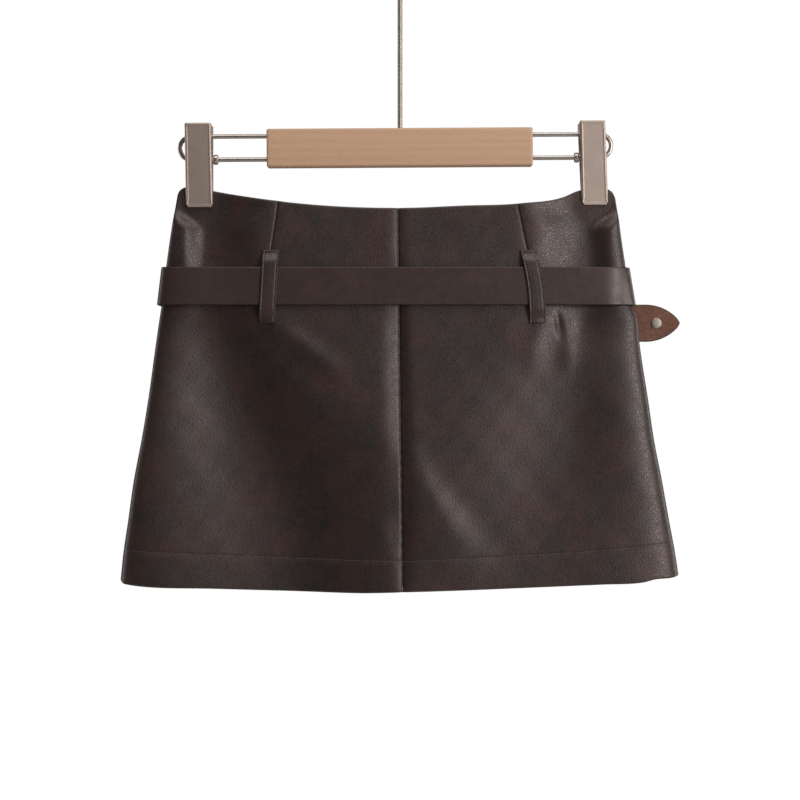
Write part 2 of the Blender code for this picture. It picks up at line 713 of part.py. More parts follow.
def make_buckle():
    """A round-wire frame, with the strap's end round its heel bar, and the prong across it."""
    heel_y = belt_face(BUCKLE_HEEL, BELT_HEIGHT, "front") + BELT + GAP + BUCKLE_BAR
    far_x = BUCKLE_HEEL - BUCKLE_LENGTH
    far_y = heel_y + BUCKLE_LIFT
    half = BELT_WIDTH / 2 + 2.4
    corner = half - BELT_WIDTH / 2
    outline = []
    for x, z, start in ((1, 1, 0), (0, 1, 90), (0, -1, 180), (1, -1, 270)):
        for turn in np.radians(np.linspace(start, start + 90, 5)):
            across = (corner if x == 0 else BUCKLE_LENGTH - corner) + corner * math.cos(turn)
            height = BELT_HEIGHT + z * (half - corner) + corner * math.sin(turn)
            outline.append((across / BUCKLE_LENGTH, height))
    share, z = np.array(outline).T
    tilt = belt_face(BUCKLE_HEEL, z, "front") - belt_face(BUCKLE_HEEL, BELT_HEIGHT, "front")
    path = np.stack([far_x + share * BUCKLE_LENGTH, far_y + share * (heel_y - far_y) + tilt, z], -1)
    tangent = np.roll(path, -1, axis=0) - np.roll(path, 1, axis=0)
    tangent /= np.linalg.norm(tangent, axis=1, keepdims=True)
    plane = np.cross((BUCKLE_LENGTH, heel_y - far_y, 0), (0, 0, 1))
    plane /= np.linalg.norm(plane)
    beside = np.cross(tangent, plane)
    angle = np.arange(8) * math.pi / 4
    rings = path[:, None] + BUCKLE_BAR * (
        np.cos(angle)[None, :, None] * beside[:, None] + np.sin(angle)[None, :, None] * plane
    )
    index = np.arange(len(path) * 8).reshape(-1, 8)
    after = np.roll(index, -1, axis=0)
    faces = np.stack([index, np.roll(index, -1, axis=1), np.roll(after, -1, axis=1), after], -1)
    add_object("buckle_frame", rings.reshape(-1, 3), faces.reshape(-1, 4).tolist(), "nickel")
    prong = np.array(PRONG_LINE)
    path = np.stack([BUCKLE_HEEL + prong[:, 0], heel_y + prong[:, 1], 0 * prong[:, 0] + BELT_HEIGHT], -1)
    tangent = frames(path)
    beside = np.cross(tangent, (0, 0, 1))
    rings = path[:, None] + PRONG * (
        np.cos(angle)[None, :, None] * beside[:, None] + np.sin(angle)[None, :, None] * np.array([0, 0, 1])
    )
    add_object("buckle_prong", *ring_swept(rings), "nickel")


def make_loops():
    """Four belt loops: sewn flat to the panel at both ends and lifted over the belt between them."""
    top, _, low = LOOP_HEIGHTS
    z = np.concatenate([np.linspace(*rows) for rows in LOOP_ROWS])
    lift = smooth((top - LOOP_SEWN - z) / LOOP_RISE) * smooth((z - low - LOOP_SEWN) / LOOP_RISE)
    for name, (panel, middles) in LOOPS.items():
        middle = spline(tuple(zip(LOOP_HEIGHTS, middles)), 1, z)
        x = middle[:, None] + LOOP_WIDTH * np.array([-0.5, 0.0, 0.5])
        height = np.broadcast_to(z[:, None], x.shape)
        on_panel = outer_face(panel, x, height) + GAP
        on_belt = belt_face(x, np.clip(height, low + LOOP_UNDER, top - LOOP_UNDER), panel) + BELT + GAP
        under = on_panel + (np.maximum(on_belt, on_panel) - on_panel) * lift[:, None]
        inner = np.stack([x, toward(panel) * under, height], -1)
        outer = np.stack([x, toward(panel) * (under + LOOP), height], -1)
        add_object(name, *walled(outer, inner), "leather")


# ---- The hanger


def make_hook():
    """A wire stem out of the bar's top that swings aside and over into an open hook."""
    centre = HOOK_WIRE - HOOK_BEND
    start = math.radians(HOOK_JOIN)
    joins = np.array([HOOK_BEND * math.cos(start), centre + HOOK_BEND * math.sin(start)])
    leaves = np.array([0.0, centre - HOOK_SWING])
    t = np.linspace(0, 1, 9)[:, None]
    lower = leaves + (0, HOOK_PULLS[0])
    upper = joins - HOOK_PULLS[1] * np.array([math.sin(start), -math.cos(start)])
    bend = (1 - t) ** 3 * leaves + 3 * (1 - t) ** 2 * t * lower + 3 * (1 - t) * t**2 * upper + t**3 * joins
    turn = np.radians(np.arange(HOOK_JOIN - 10, HOOK_TIP - 1, -10))
    crown = np.stack([HOOK_BEND * np.cos(turn), centre + HOOK_BEND * np.sin(turn)], -1)
    stem = [(0.0, BAR_HEIGHT + BAR_SIZE[2] / 2 + GAP), (0.0, centre - 2 * HOOK_SWING)]
    line = np.concatenate([stem, bend, crown])
    path = np.stack([line[:, 0], 0 * line[:, 0], line[:, 1]], -1)
    add_object("hanger_hook", *tube(path, HOOK_WIRE, 10), "nickel")


def make_bar():
    """The wooden bar, its long edges eased."""
    shape = bmesh.new()
    bmesh.ops.create_cube(shape, size=1)
    bmesh.ops.scale(shape, verts=shape.verts, vec=[size * MM for size in BAR_SIZE])
    mesh = bpy.data.meshes.new("hanger_bar")
    shape.to_mesh(mesh)
    shape.free()
    mesh.materials.append(material("wood"))
    bar = bpy.data.objects.new("hanger_bar", mesh)
    bpy.context.scene.collection.objects.link(bar)
    bar.location = (BAR_MIDDLE * MM, 0, BAR_HEIGHT * MM)
    bar.rotation_euler = (0, -LEAN, 0)
    bevel = bar.modifiers.new("edges", "BEVEL")
    bevel.width = BAR_EDGE * MM
    bevel.segments = 2


def make_wires():
    """A wire loop out of each end of the bar: out along the top, round, and back below."""
    upper, lower = WIRE_HEIGHTS
    bend = (upper - lower) / 2
    for name, side in (("left", -1), ("right", 1)):
        out = abs(WIRE_ENDS[name]) - bend
        root = BAR_SIZE[0] / 2 + GAP - BAR_MIDDLE
        joint = root + WIRE_STRAIGHT
        turn = np.radians(np.linspace(90, -90, 11))
        curve = [(out + bend * math.cos(a), (upper + lower) / 2 + bend * math.sin(a)) for a in turn]
        line = np.array([(root, upper), (joint, upper), *curve, (joint, lower), (root, lower)])
        path = np.stack([side * line[:, 0], 0 * line[:, 0], line[:, 1]], -1)
        points, faces = tube(path, WIRE_RADIUS, 8)
        add_object(f"wire_{name}", leaned(points), faces, "nickel")


def folded_section(wide, out, side, edge, drop):
    """A clip plate's section at a height, as (across, out): a flat face, cut corners, and folded sides."""
    half = [(wide - edge, out), (wide, out - drop), (wide, out - side)]
    return [(-across, depth) for across, depth in reversed(half)] + half


def make_clips():
    """On each side two nickel plates with folded sides, on a spring barrel round the lower wire."""
    for name, middle in CLIPS.items():
        half = CLIP_HALF_WIDTH[name]
        for plate, facing in (("front", -1), ("back", 1)):
            outer, inner = [], []
            top, low = CLIP_PROFILE[0][0], CLIP_PROFILE[-1][0]
            for z, out, side in CLIP_PROFILE:
                narrower = CLIP_CORNER * (1 - smooth((z - low) / CLIP_CORNER_HEIGHT))
                wide = half + CLIP_FLARE * (top - z) / (top - low) - narrower
                outer.append(folded_section(wide, out, side, CLIP_EDGE, CLIP_EDGE))
                inner.append(folded_section(wide - PLATE, out - PLATE, side - PLATE, 0.1, 0.05))
            heights = [z for z, _, _ in CLIP_PROFILE]
            grids = [
                np.array([[(middle + x, facing * y, z) for x, y in row] for row, z in zip(grid, heights)])
                for grid in (outer, inner)
            ]
            points, faces = walled(*grids)
            add_object(f"clip_{name}_{plate}", leaned(points), faces, "nickel")
        make_barrel(name, middle, half)


def make_barrel(name, middle, half):
    """The spring barrel round the lower wire, with a bead at the clip's inner side."""
    inwards = 1 if middle < 0 else -1
    hole = WIRE_RADIUS + GAP
    end, bead = half - BARREL_SHORT, half + NECK_OUT
    start = abs(WIRE_ENDS[name]) - (WIRE_HEIGHTS[0] - WIRE_HEIGHTS[1]) / 2 - abs(middle) - GAP
    profile = [
        # along the wire towards the bar, radius
        (-start, hole),
        (-start, BARREL_RADIUS),
        (end, BARREL_RADIUS),
        (end, NECK_RADIUS),
        (bead, NECK_RADIUS),
        (bead, BEAD_RADIUS),
        (bead + BEAD_LENGTH, BEAD_RADIUS),
        (bead + BEAD_LENGTH, hole),
    ]
    angle = np.arange(16) * math.pi / 8
    circle = np.stack([0 * angle, np.sin(angle), np.cos(angle)], -1)
    axis = [np.array([middle + inwards * along, 0, WIRE_HEIGHTS[1]]) for along, _ in profile]
    rings = np.array([place + radius * circle for place, (_, radius) in zip(axis, profile)])
    count = len(angle)
    index = np.arange(rings.shape[0] * count).reshape(-1, count)
    after = np.roll(index, -1, axis=0)
    faces = np.stack([index, np.roll(index, -1, axis=1), np.roll(after, -1, axis=1), after], -1)
    add_object(f"clip_{name}_spring", leaned(rings.reshape(-1, 3)), faces.reshape(-1, 4).tolist(), "nickel")


def main():
    """Clears the scene and makes every piece of the garment and its hanger."""
    for old in list(bpy.context.scene.objects):
        bpy.data.objects.remove(old)
    make_panels()
    make_shorts()
    make_belt()
    make_rivet()
    make_buckle()
    make_loops()
    make_hook()
    make_bar()
    make_wires()
    make_clips()


main()
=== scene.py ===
import math

import bmesh
import bpy
import numpy as np
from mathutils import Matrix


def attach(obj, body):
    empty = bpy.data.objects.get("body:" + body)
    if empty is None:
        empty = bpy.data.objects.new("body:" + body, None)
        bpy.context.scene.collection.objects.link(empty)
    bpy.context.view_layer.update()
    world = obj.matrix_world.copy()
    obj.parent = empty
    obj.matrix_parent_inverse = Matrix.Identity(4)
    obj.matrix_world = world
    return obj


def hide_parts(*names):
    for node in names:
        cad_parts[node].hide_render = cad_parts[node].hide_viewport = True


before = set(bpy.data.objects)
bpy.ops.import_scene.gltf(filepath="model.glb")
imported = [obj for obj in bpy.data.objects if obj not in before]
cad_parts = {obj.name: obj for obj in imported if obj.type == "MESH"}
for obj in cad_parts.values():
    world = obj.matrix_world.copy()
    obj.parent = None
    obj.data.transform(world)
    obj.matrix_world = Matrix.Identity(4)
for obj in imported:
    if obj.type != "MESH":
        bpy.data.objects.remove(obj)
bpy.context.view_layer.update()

# ---- Back and front panels
# Faux leather, 1.3 mm thick: a pebbled plastic face on a knitted backing. Two back panels meet in a centre
# seam, and the front is one piece. The hem is turned up inside and held by one row of stitches.
MM = 0.001  # in metres
FACING = {"back": -1, "front": 1}
WALL = 1.3  # the leather's thickness
GAP = 0.3  # between the back's cloth and the front's, and between parts that lie on each other
ROUND = 6.5  # exponent of the oval section
JAW = 1.75  # from the middle plane to the cloth's face where a clip presses it
SILHOUETTE = (
    # height, left fold, right fold
    (-206.5, -172.5, 166.5), (-227.7, -176, 169.8), (-247.2, -178.9, 172.2), (-267.5, -181.6, 175.2),
    (-299, -185.2, 180.2), (-306, -186.3, 183.6), (-326.8, -189.3, 185.7), (-372, -195.4, 192.3),
    (-403.2, -200.5, 196.8), (-434.4, -206.3, 202.8), (-465.6, -210.6, 208.3), (-489, -214, 212.6),
    (-510, -216.1, 215.7),
)
CENTRE_SEAM = ((-223.0, -1.5), (-519.0, 2.1))  # height, across
WAIST_EDGE = (
    # across, height
    (-174.2, -212.8), (-173.2, -209.6), (-171.6, -207.6), (-169.4, -206.3), (-166, -205.8),
    (-146, -209.3), (-95, -217.6), (-1.5, -223.1), (50, -221.2), (91, -219.6), (129, -213.6),
    (141, -208.8), (158, -206.9), (162, -207.4), (165, -208.8), (166.8, -211), (167.9, -214.6),
)
HEM_STITCHES = (
    # across, height
    (-216, -487.6), (-209, -488), (-142, -491.8), (-60, -494.8), (1, -495.6),
    (60, -493.2), (154, -487.6), (178, -485.5), (215, -481.6),
)
HEM_EDGE = (
    # across, height
    (-216.1, -509.6), (-211.5, -513.6), (-142, -517.4), (-35, -520.2), (2.1, -519.2), (80, -516.6),
    (153.6, -513.4), (185, -511.8), (193, -509.8), (211, -507.8), (215.7, -506.2),
)
DEPTH = (
    # height, back and front: from the middle plane to the cloth's fullest
    (-215, 9.5, 9), (-268, 15, 13.5), (-300, 17.5, 15.5), (-330, 21, 18.5),
    (-372, 25, 21.5), (-434, 28.5, 25), (-520, 31, 27),
)
TROUGHS = {
    # long soft folds: height, across, reach towards -X, reach towards +X, depth (below 0: a ridge)
    "back": (
        (
            (-222, -152, 12, 20, 1.2), (-262, -146, 19, 30, 3.6),
            (-297, -147, 24, 26, 6), (-325, -139, 37, 31, 12.5),
            (-350, -131, 48, 38, 17), (-372, -126, 54, 43, 20),
            (-404, -114, 67, 55, 21.5), (-434, -104, 76, 60, 21.5),
            (-465, -93, 86, 58, 20.5), (-520, -86, 88, 50, 16),
        ),
        (
            (-222, 149, 20, 10, 1), (-262, 146, 34, 14, 3.6), (-297, 143, 26, 22, 5.5),
            (-325, 140, 32, 26, 4.2), (-350, 136, 44, 30, 5.5), (-372, 132, 48, 34, 7),
            (-404, 129, 56, 38, 7.9), (-434, 122, 60, 46, 7.3), (-465, 114, 66, 60, 5.8),
            (-520, 104, 72, 66, 3.5),
        ),
        (
            (-222, -1.5, 5, 5, 0.6), (-290, -0.6, 8, 5, 1.4), (-320, -0.4, 9, 5, 2.4),
            (-372, 0.2, 9, 6, 2.6), (-412, 0.8, 9, 6, 2.4), (-440, 1.1, 10, 7, 2.2),
            (-465, 1.4, 11, 7, 3), (-495, 1.8, 7, 6, 1.5), (-519, 2.1, 5, 5, 0.6),
        ),
        (
            (-396, 2, 20, 12, -0.2), (-434, 16, 26, 14, -2.2), (-465, 33, 32, 18, -2.8),
            (-498, 50, 40, 22, -1.2), (-520, 60, 40, 24, -0.3),
        ),
    ),
    "front": (
        (
            (-222, -156, 10, 20, 1), (-262, -150, 20, 32, 3),
            (-297, -144, 24, 28, 4.5), (-350, -128, 38, 34, 7.5),
            (-410, -104, 52, 40, 7.5), (-520, -84, 70, 44, 4),
        ),
        (
            (-222, 152, 20, 10, 1), (-262, 146, 30, 20, 3), (-297, 140, 26, 24, 4.5),
            (-350, 131, 30, 36, 7), (-410, 117, 40, 50, 7.5), (-520, 84, 52, 66, 4.5),
        ),
    ),
}
CREASES = {
    # short creases under the belt: (across, height) of both ends, reach to each side, rise
    "back": (
        ((-108, -308), (-38, -353), 8, 2),
        ((-96, -332), (-50, -364), 9, -0.9),
        ((121, -303), (124.5, -325), 2.2, -1.6),
        ((112, -306), (98, -352), 8, 1),
        ((132, -306), (128, -356), 6, 0.9),
        ((141, -300), (143, -332), 15, -1.9),
    ),
    "front": (
        ((96, -318), (44, -350), 8, 1.1),
        ((-96, -318), (-58, -346), 7, 1),
        ((-126, -306), (-118, -344), 6, -0.9),
    ),
}
RIPPLES = (
    # height, length across and length down (below 0: it slants the other way), phase
    (0.07, 9.1, 23, 0), (0.06, -17, 7.3, 1.7), (0.05, 5.3, 6.1, 0.4), (0.04, 3.7, -4.9, 2.9),
)
CREASE_BEYOND = 0.15  # share of its length by which a crease fades out past either end
CREASE_START = 0.36  # phase of the half sine along it
DARTS = {-1: (-94.5, -99.5), 1: (91.0, 98.4)}  # side of the back: across at its dart's top and low end
DART_TOP, DART_LENGTH, DART_FADES = -218.5, 36.0, -262.0
DART_SHARE = 0.544  # of the width, where the columns crowd together for the dart
# depth and reach of a sewn line, then of the roll beside it, then its puckers' depth and turn per mm
SEAM_GROOVE = (1.0, 0.8, 0.5, 2.6, 0.2, 2 * math.pi / 9)
DART_GROOVE = (0.7, 0.6, 0.3, 2.4, 0.12, 0.8)
HEM_PRESS = 0.35  # how deep the hem's stitches lie, and how far the turned-up hem stands out below them
EDGE_ROLL = 0.75  # how far the cloth rolls in at its edges
SEAM_GAP = 0.02  # between each back panel's edge and the centre seam's line
DART_PULL = 0.03  # share of the width over which columns are pulled onto the dart's line
WAIST_LEVEL, HEM_LEVEL = -215.0, -500.0  # heights at which the columns find their places in the edges' tables
EVEN_BELOW, EVEN_EASE = 3.0, 4.0  # cloth less deep than this is too tight for creases and ripples
CLIP_BOTTOM = -220.8
CLIPS = {"left": -156.5, "right": 151.6}
PINCH_HALF = 13.0  # the flat stretch on each side of a clip's middle
PINCH_SHIFT = 5.5  # how far its middle line moves towards the garment's middle as it opens
PINCH_FLAT_DROP = 20.0  # how far below the clip that stretch has run out
PINCH_OUTSIDE, PINCH_INSIDE = 18.0, 44.0  # from flat to free towards the side fold and towards the middle
PINCH_DROP = 80.0  # from pressed to free below the clip


def spline(table, column, at):
    """A table's column on a smooth curve through its rows, read where the first column equals at.

    Each slope is the length-weighted mean of the two chords beside it, at most three times the flatter one,
    and level at a turn.
    """
    rows = np.array(table, float)
    rows = rows[np.argsort(rows[:, 0])]
    x, y = rows[:, 0], rows[:, column]
    step = np.diff(x)
    chord = np.diff(y) / step
    mean = (step[1:] * chord[:-1] + step[:-1] * chord[1:]) / (step[:-1] + step[1:])
    steepest = 3 * np.minimum(np.abs(chord[:-1]), np.abs(chord[1:]))
    inner = np.where(chord[:-1] * chord[1:] > 0, np.clip(mean, -steepest, steepest), 0)
    slope = np.concatenate([chord[:1], inner, chord[-1:]])
    at = np.clip(at, x[0], x[-1])
    k = np.clip(np.searchsorted(x, at) - 1, 0, len(step) - 1)
    s = (at - x[k]) / step[k]
    return (
        (1 + 2 * s) * (1 - s) ** 2 * y[k] + s * (1 - s) ** 2 * step[k] * slope[k]
        + s**2 * (3 - 2 * s) * y[k + 1] - s**2 * (1 - s) * step[k] * slope[k + 1]
    )


def smooth(value):
    """0 below 0, 1 above 1, and an even S between them: 3 v^2 - 2 v^3."""
    value = np.clip(value, 0, 1)
    return value * value * (3 - 2 * value)


def arched(value):
    """0 below 0, 1 above 1, and a quarter circle between them: sqrt(1 - (1 - v)^2)."""
    return np.sqrt(1 - (1 - np.clip(value, 0, 1)) ** 2)


def bell(distance, reach):
    """A soft bump: e^-(distance / reach)^2."""
    return np.exp(-((distance / reach) ** 2))


def stacked(*parts):
    """Arrays and numbers as the last axis of one array."""
    return np.stack(np.broadcast_arrays(*parts), -1)


def distances(line):
    """How far each point of a line is along it."""
    return np.concatenate([[0], np.cumsum(np.linalg.norm(np.diff(line, axis=0), axis=1))])


def oval(share, exponent=ROUND):
    """The share of the depth that an oval section has at a share of its width: (1 - |s|^n)^(1/n)."""
    return np.clip(1 - np.clip(np.abs(share), 0, 1) ** exponent, 0, 1) ** (1 / exponent)


def oval_columns(count, flatness=5, exponent=ROUND):
    """count + 1 shares of the width, even along a quarter of an oval flatness times wider than deep."""
    angle = np.linspace(0, math.pi / 2, 6000)
    wide, deep = np.sin(angle) ** (2 / exponent), np.cos(angle) ** (2 / exponent)
    along = distances(stacked(flatness * wide, deep))
    return np.interp(np.linspace(0, along[-1], count + 1), along, wide)


def widths(z):
    """Where the centre seam lies at a height, and how far the left and right folds are from it."""
    seam = spline(CENTRE_SEAM, 1, z)
    return seam, seam - spline(SILHOUETTE, 1, z), spline(SILHOUETTE, 2, z) - seam


def across_at(z, share):
    """x at a height and a share of the width: seam + share * width from the seam to that side's fold."""
    seam, left, right = widths(z)
    return seam + share * np.where(share < 0, left, right)


def share_at(x, z, beyond=0.0):
    """The share of the width at (x, z), as across_at turned round, with both folds moved out by beyond."""
    seam, left, right = widths(z)
    return (x - seam) / (np.where(x < seam, left, right) + beyond)


def fullness(panel, z):
    """The depth from the middle plane to the section's outer face before any fold."""
    return spline(DEPTH, 1 if panel == "back" else 2, z)


def clip_pinch(x, z):
    """1 where a clip presses the cloth together, easing to 0 around it and below it."""
    below = CLIP_BOTTOM - z
    opened = smooth(below / PINCH_FLAT_DROP)
    pinch = np.zeros(np.broadcast(x, z).shape)
    for middle in CLIPS.values():
        outwards = (x - middle) * math.copysign(1, middle) + PINCH_SHIFT * opened
        ease = np.where(outwards > 0, PINCH_OUTSIDE, PINCH_INSIDE)
        sideways = 1 - smooth((np.abs(outwards) - PINCH_HALF * (1 - opened)) / ease)
        pinch = np.maximum(pinch, sideways * (1 - smooth((below - 1) / PINCH_DROP)))
    return pinch


def section_depth(panel, x, z):
    """The depth from the middle plane that the section is scaled to at (x, z), with folds and clips."""
    depth = fullness(panel, z)
    for trough in TROUGHS[panel]:
        middle, before, after, deep = (spline(trough, column, z) for column in (1, 2, 3, 4))
        depth = depth - deep * bell(x - middle, np.where(x < middle, before, after))
    pinch = clip_pinch(x, z)
    return JAW * pinch + depth * (1 - pinch)


def creases(panel, x, z):
    """The panel's short creases: a bell across each line, times a squared half sine along it."""
    rise = np.zeros(np.broadcast(x, z).shape)
    for (x0, z0), (x1, z1), reach, height in CREASES[panel]:
        length = math.hypot(x1 - x0, z1 - z0)
        along = ((x - x0) * (x1 - x0) + (z - z0) * (z1 - z0)) / length**2
        away = ((x - x0) * (z1 - z0) - (z - z0) * (x1 - x0)) / length
        inside = (along > -CREASE_BEYOND) & (along < 1 + CREASE_BEYOND)
        swell = np.sin(math.pi * along / (1 + 2 * CREASE_BEYOND) + CREASE_START) ** 2
        rise = rise + height * bell(away, reach) * swell * inside
    return rise


def ripple(x, z):
    """A faint unevenness of hanging cloth: a few sines of unlike length and direction, about 0.1 mm high."""
    return sum(height * np.sin(x / across + z / down + phase) for height, across, down, phase in RIPPLES)


def cloth_face(panel, x, z, share, inset=0.0):
    """A panel's face from the middle plane: oval(share) * depth, then creases and ripples where deep."""
    y = GAP / 2 + (section_depth(panel, x, z) - inset - GAP / 2) * oval(share)
    return y + smooth((y - EVEN_BELOW) / EVEN_EASE) * (creases(panel, x, z) + ripple(x, z))


def groove(away, z, depth, reach, roll, roll_reach, pucker, turn):
    """A sewn-in line: (depth + pucker * sine of the height) * a sharp bell, and a wide bell for the roll."""
    return (depth + pucker * np.sin(turn * z)) * bell(away, reach) + roll * bell(away, roll_reach)


def dart_place(side, z):
    """Where the dart runs across at a height: a straight line through its two ends."""
    top, low = DARTS[side]
    return top + (low - top) * (DART_TOP - z) / DART_LENGTH


def cloth_columns(side):
    """Shares of the width for a panel's columns: even along the cloth, close together at seams and darts."""
    if not side:
        share = oval_columns(84)
        return np.concatenate([-share[:0:-1], share])
    share = oval_columns(118)
    share = share[np.abs(share - DART_SHARE) > 0.0125]
    at_seam = [0.0012, 0.0026, 0.0045, 0.0105, 0.018]
    at_dart = DART_SHARE + np.array([-0.011, -0.0075, -0.0045, -0.002, 0, 0.002, 0.0045, 0.0075, 0.011])
    return side * np.sort(np.concatenate([share, at_seam, at_dart]))


def cloth_points(panel, side, columns, rows, inset=0.0):
    """Points of a panel at shares of its width and rows: 0 at the waist, 1 at the stitches, 2 at the hem.

    x = seam + share * width, y = the cloth's face less what stitches, dart, seam and turned edges sink in.
    """
    top = spline(WAIST_EDGE, 1, across_at(WAIST_LEVEL, columns))
    at_hem = across_at(HEM_LEVEL, columns)
    stitched, bottom = spline(HEM_STITCHES, 1, at_hem), spline(HEM_EDGE, 1, at_hem)
    upper, lower = np.clip(rows, 0, 1)[:, None], np.clip(rows - 1, 0, 1)[:, None]
    z = top + upper * (stitched - top) + lower * (bottom - stitched)
    share = columns + 0 * z
    x = across_at(z, share)
    sunk = HEM_PRESS * (bell(z - stitched, 1.0) - smooth((stitched - 1.0 - z) / 2.0))
    if side:
        place, fade = dart_place(side, z), smooth((z - DART_FADES) / 6)
        pulled = bell(np.abs(share) - DART_SHARE, DART_PULL) * smooth((z - DART_FADES + 13) / 15)
        x = x + (place - across_at(z, side * DART_SHARE)) * pulled
        sunk = sunk + fade * groove(x - place, z, *DART_GROOVE) + groove(x - widths(z)[0], z, *SEAM_GROOVE)
        x = x + side * SEAM_GAP * (1 - np.abs(share))
    sunk = sunk + EDGE_ROLL * (1 - arched(np.minimum(top - z, z - bottom) / WALL))
    inset = inset + inset * smooth((stitched + 1.5 - z) / 0.8)
    y = cloth_face(panel, x, z, share, inset) - sunk * np.clip(oval(share) * 1.4, 0, 1)
    return stacked(x - inset * share, FACING[panel] * np.maximum(y, GAP / 2), z)


def walled(outer, inner, more=None):
    """Points and quads of a closed wall between two grids of the same shape, (rows, columns, 3).

    more has further quads between points of the grid. The outer face's quads come first, then the inner
    face's, then those round every free edge: the edges that only one quad has.
    """
    count = outer.shape[0] * outer.shape[1]
    index = np.arange(count).reshape(outer.shape[:2])
    quads = stacked(index[:-1, :-1], index[:-1, 1:], index[1:, 1:], index[1:, :-1]).reshape(-1, 4)
    if more is not None:
        quads = np.concatenate([quads, more])
    start, end = quads.ravel(), np.roll(quads, -1, axis=1).ravel()
    free = ~np.isin(start * count + end, end * count + start)
    start, end = start[free], end[free]
    faces = np.concatenate([quads, quads[:, ::-1] + count, stacked(end, start, start + count, end + count)])
    return np.concatenate([outer.reshape(-1, 3), inner.reshape(-1, 3)]), faces


def put_in_scene(name, data):
    """An object for a mesh, a camera or a lamp."""
    made = bpy.data.objects.new(name, data)
    bpy.context.scene.collection.objects.link(made)
    return made


def new_mesh(name, points, faces):
    """A mesh from points in millimetres and faces."""
    mesh = bpy.data.meshes.new(name)
    mesh.from_pydata((np.asarray(points) * MM).tolist(), [], [list(face) for face in faces])
    return mesh


def add_piece(name, solid, materials, stands_for=(), sharp=50, attributes=None, finishes=None):
    """A piece from a solid's points and faces, smooth-shaded, riding on the garment's one body.

    Its faces are turned round if they enclose less than nothing. attributes gives numbers for its points,
    with 0 for the rest, and finishes the place of each face's material in materials.
    """
    mesh = new_mesh(name, *solid)
    shape = bmesh.new()
    shape.from_mesh(mesh)
    if shape.calc_volume(signed=True) < 0:
        bmesh.ops.reverse_faces(shape, faces=shape.faces)
        shape.to_mesh(mesh)
    shape.free()
    if finishes is not None:
        mesh.polygons.foreach_set("material_index", np.asarray(finishes, np.int32))
    mesh.shade_smooth()
    mesh.set_sharp_from_angle(angle=math.radians(sharp))
    for label, values in (attributes or {}).items():
        values = np.pad(np.ravel(values), (0, len(mesh.vertices) - np.size(values))).astype(np.float32)
        mesh.attributes.new(label, "FLOAT", "POINT").data.foreach_set("value", values)
    for material in materials:
        mesh.materials.append(material)
    piece = put_in_scene(name, mesh)
    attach(piece, "root")
    if stands_for:
        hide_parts(*stands_for)
    return piece


def feed(tree, socket, value):
    """Links a node's output to a socket, or sets the socket's own value, a colour without its alpha."""
    if isinstance(value, bpy.types.NodeSocket):
        tree.links.new(value, socket)
    else:
        socket.default_value = (*value, 1.0) if socket.type == "RGBA" else value


def add_node(tree, kind, settings=None, **inputs):
    """A shader node with its settings and its inputs, by name or by number."""
    node = tree.nodes.new("ShaderNode" + kind)
    for key, value in (settings or {}).items():
        setattr(node, key, value)
    for key, value in inputs.items():
        feed(tree, node.inputs[int(key[1:]) if key[1:].isdigit() else key.replace("_", " ")], value)
    return node


def worked(tree, operation, *values):
    """The result of a sum, a product or a sine of values that change over the surface."""
    return add_node(tree, "Math", {"operation": operation},
                    **{f"_{place}": value for place, value in enumerate(values)}).outputs[0]


def ranged(tree, value, eased=False, **ends):
    """A value carried from one range to another, straight or eased at both ends."""
    settings = {"interpolation_type": "SMOOTHSTEP"} if eased else {}
    return add_node(tree, "MapRange", settings, Value=value, **ends).outputs[0]


def layered(tree, colour, *layers):
    """A colour under further ones, each laid on by its own mask."""
    for mask, tint in layers:
        colour = add_node(tree, "Mix", {"data_type": "RGBA"}, _0=mask, _6=colour, _7=tint).outputs[2]
    return colour


def new_group(name, takes, gives):
    """An empty node group. takes maps inputs to numbers, or None for a vector, and gives lists outputs."""
    group = bpy.data.node_groups.new(name, "ShaderNodeTree")
    for label, value in takes.items():
        kind = "NodeSocketVector" if value is None else "NodeSocketFloat"
        socket = group.interface.new_socket(label, in_out="INPUT", socket_type=kind)
        if value is not None:
            socket.default_value = value
    for label in gives:
        group.interface.new_socket(label, in_out="OUTPUT", socket_type="NodeSocketFloat")
    return group, group.nodes.new("NodeGroupInput").outputs, group.nodes.new("NodeGroupOutput").inputs


def pebble_group():
    """Pebbled grain: cells of a Voronoi pattern bent by noise, high in each cell and low along its border."""
    group, takes, gives = new_group(
        "pebble_grain", {"Place": None, "Cells per metre": 800.0}, ["Height", "Border"]
    )
    bend = add_node(group, "TexNoise", Vector=takes["Place"], Scale=260.0, Detail=2.0)
    shift = add_node(group, "VectorMath", {"operation": "MULTIPLY_ADD"},
                     _0=bend.outputs["Color"], _1=(0.0016, 0.0016, 0.0016), _2=takes["Place"])
    finer = worked(group, "MULTIPLY", takes["Cells per metre"], 2.3)
    big, small = (
        add_node(group, "TexVoronoi", {"feature": "DISTANCE_TO_EDGE"}, Vector=shift.outputs[0],
                 Scale=cells).outputs["Distance"]
        for cells in (takes["Cells per metre"], finer)
    )
    domed = ranged(group, big, True, From_Max=0.28)
    dimpled = ranged(group, small, True, From_Max=0.3, To_Max=0.35)
    feed(group, gives["Height"], worked(group, "ADD", domed, dimpled))
    border = ranged(group, big, True, From_Min=0.04, From_Max=0.34, To_Min=1.0, To_Max=0.0)
    feed(group, gives["Border"], border)
    return group


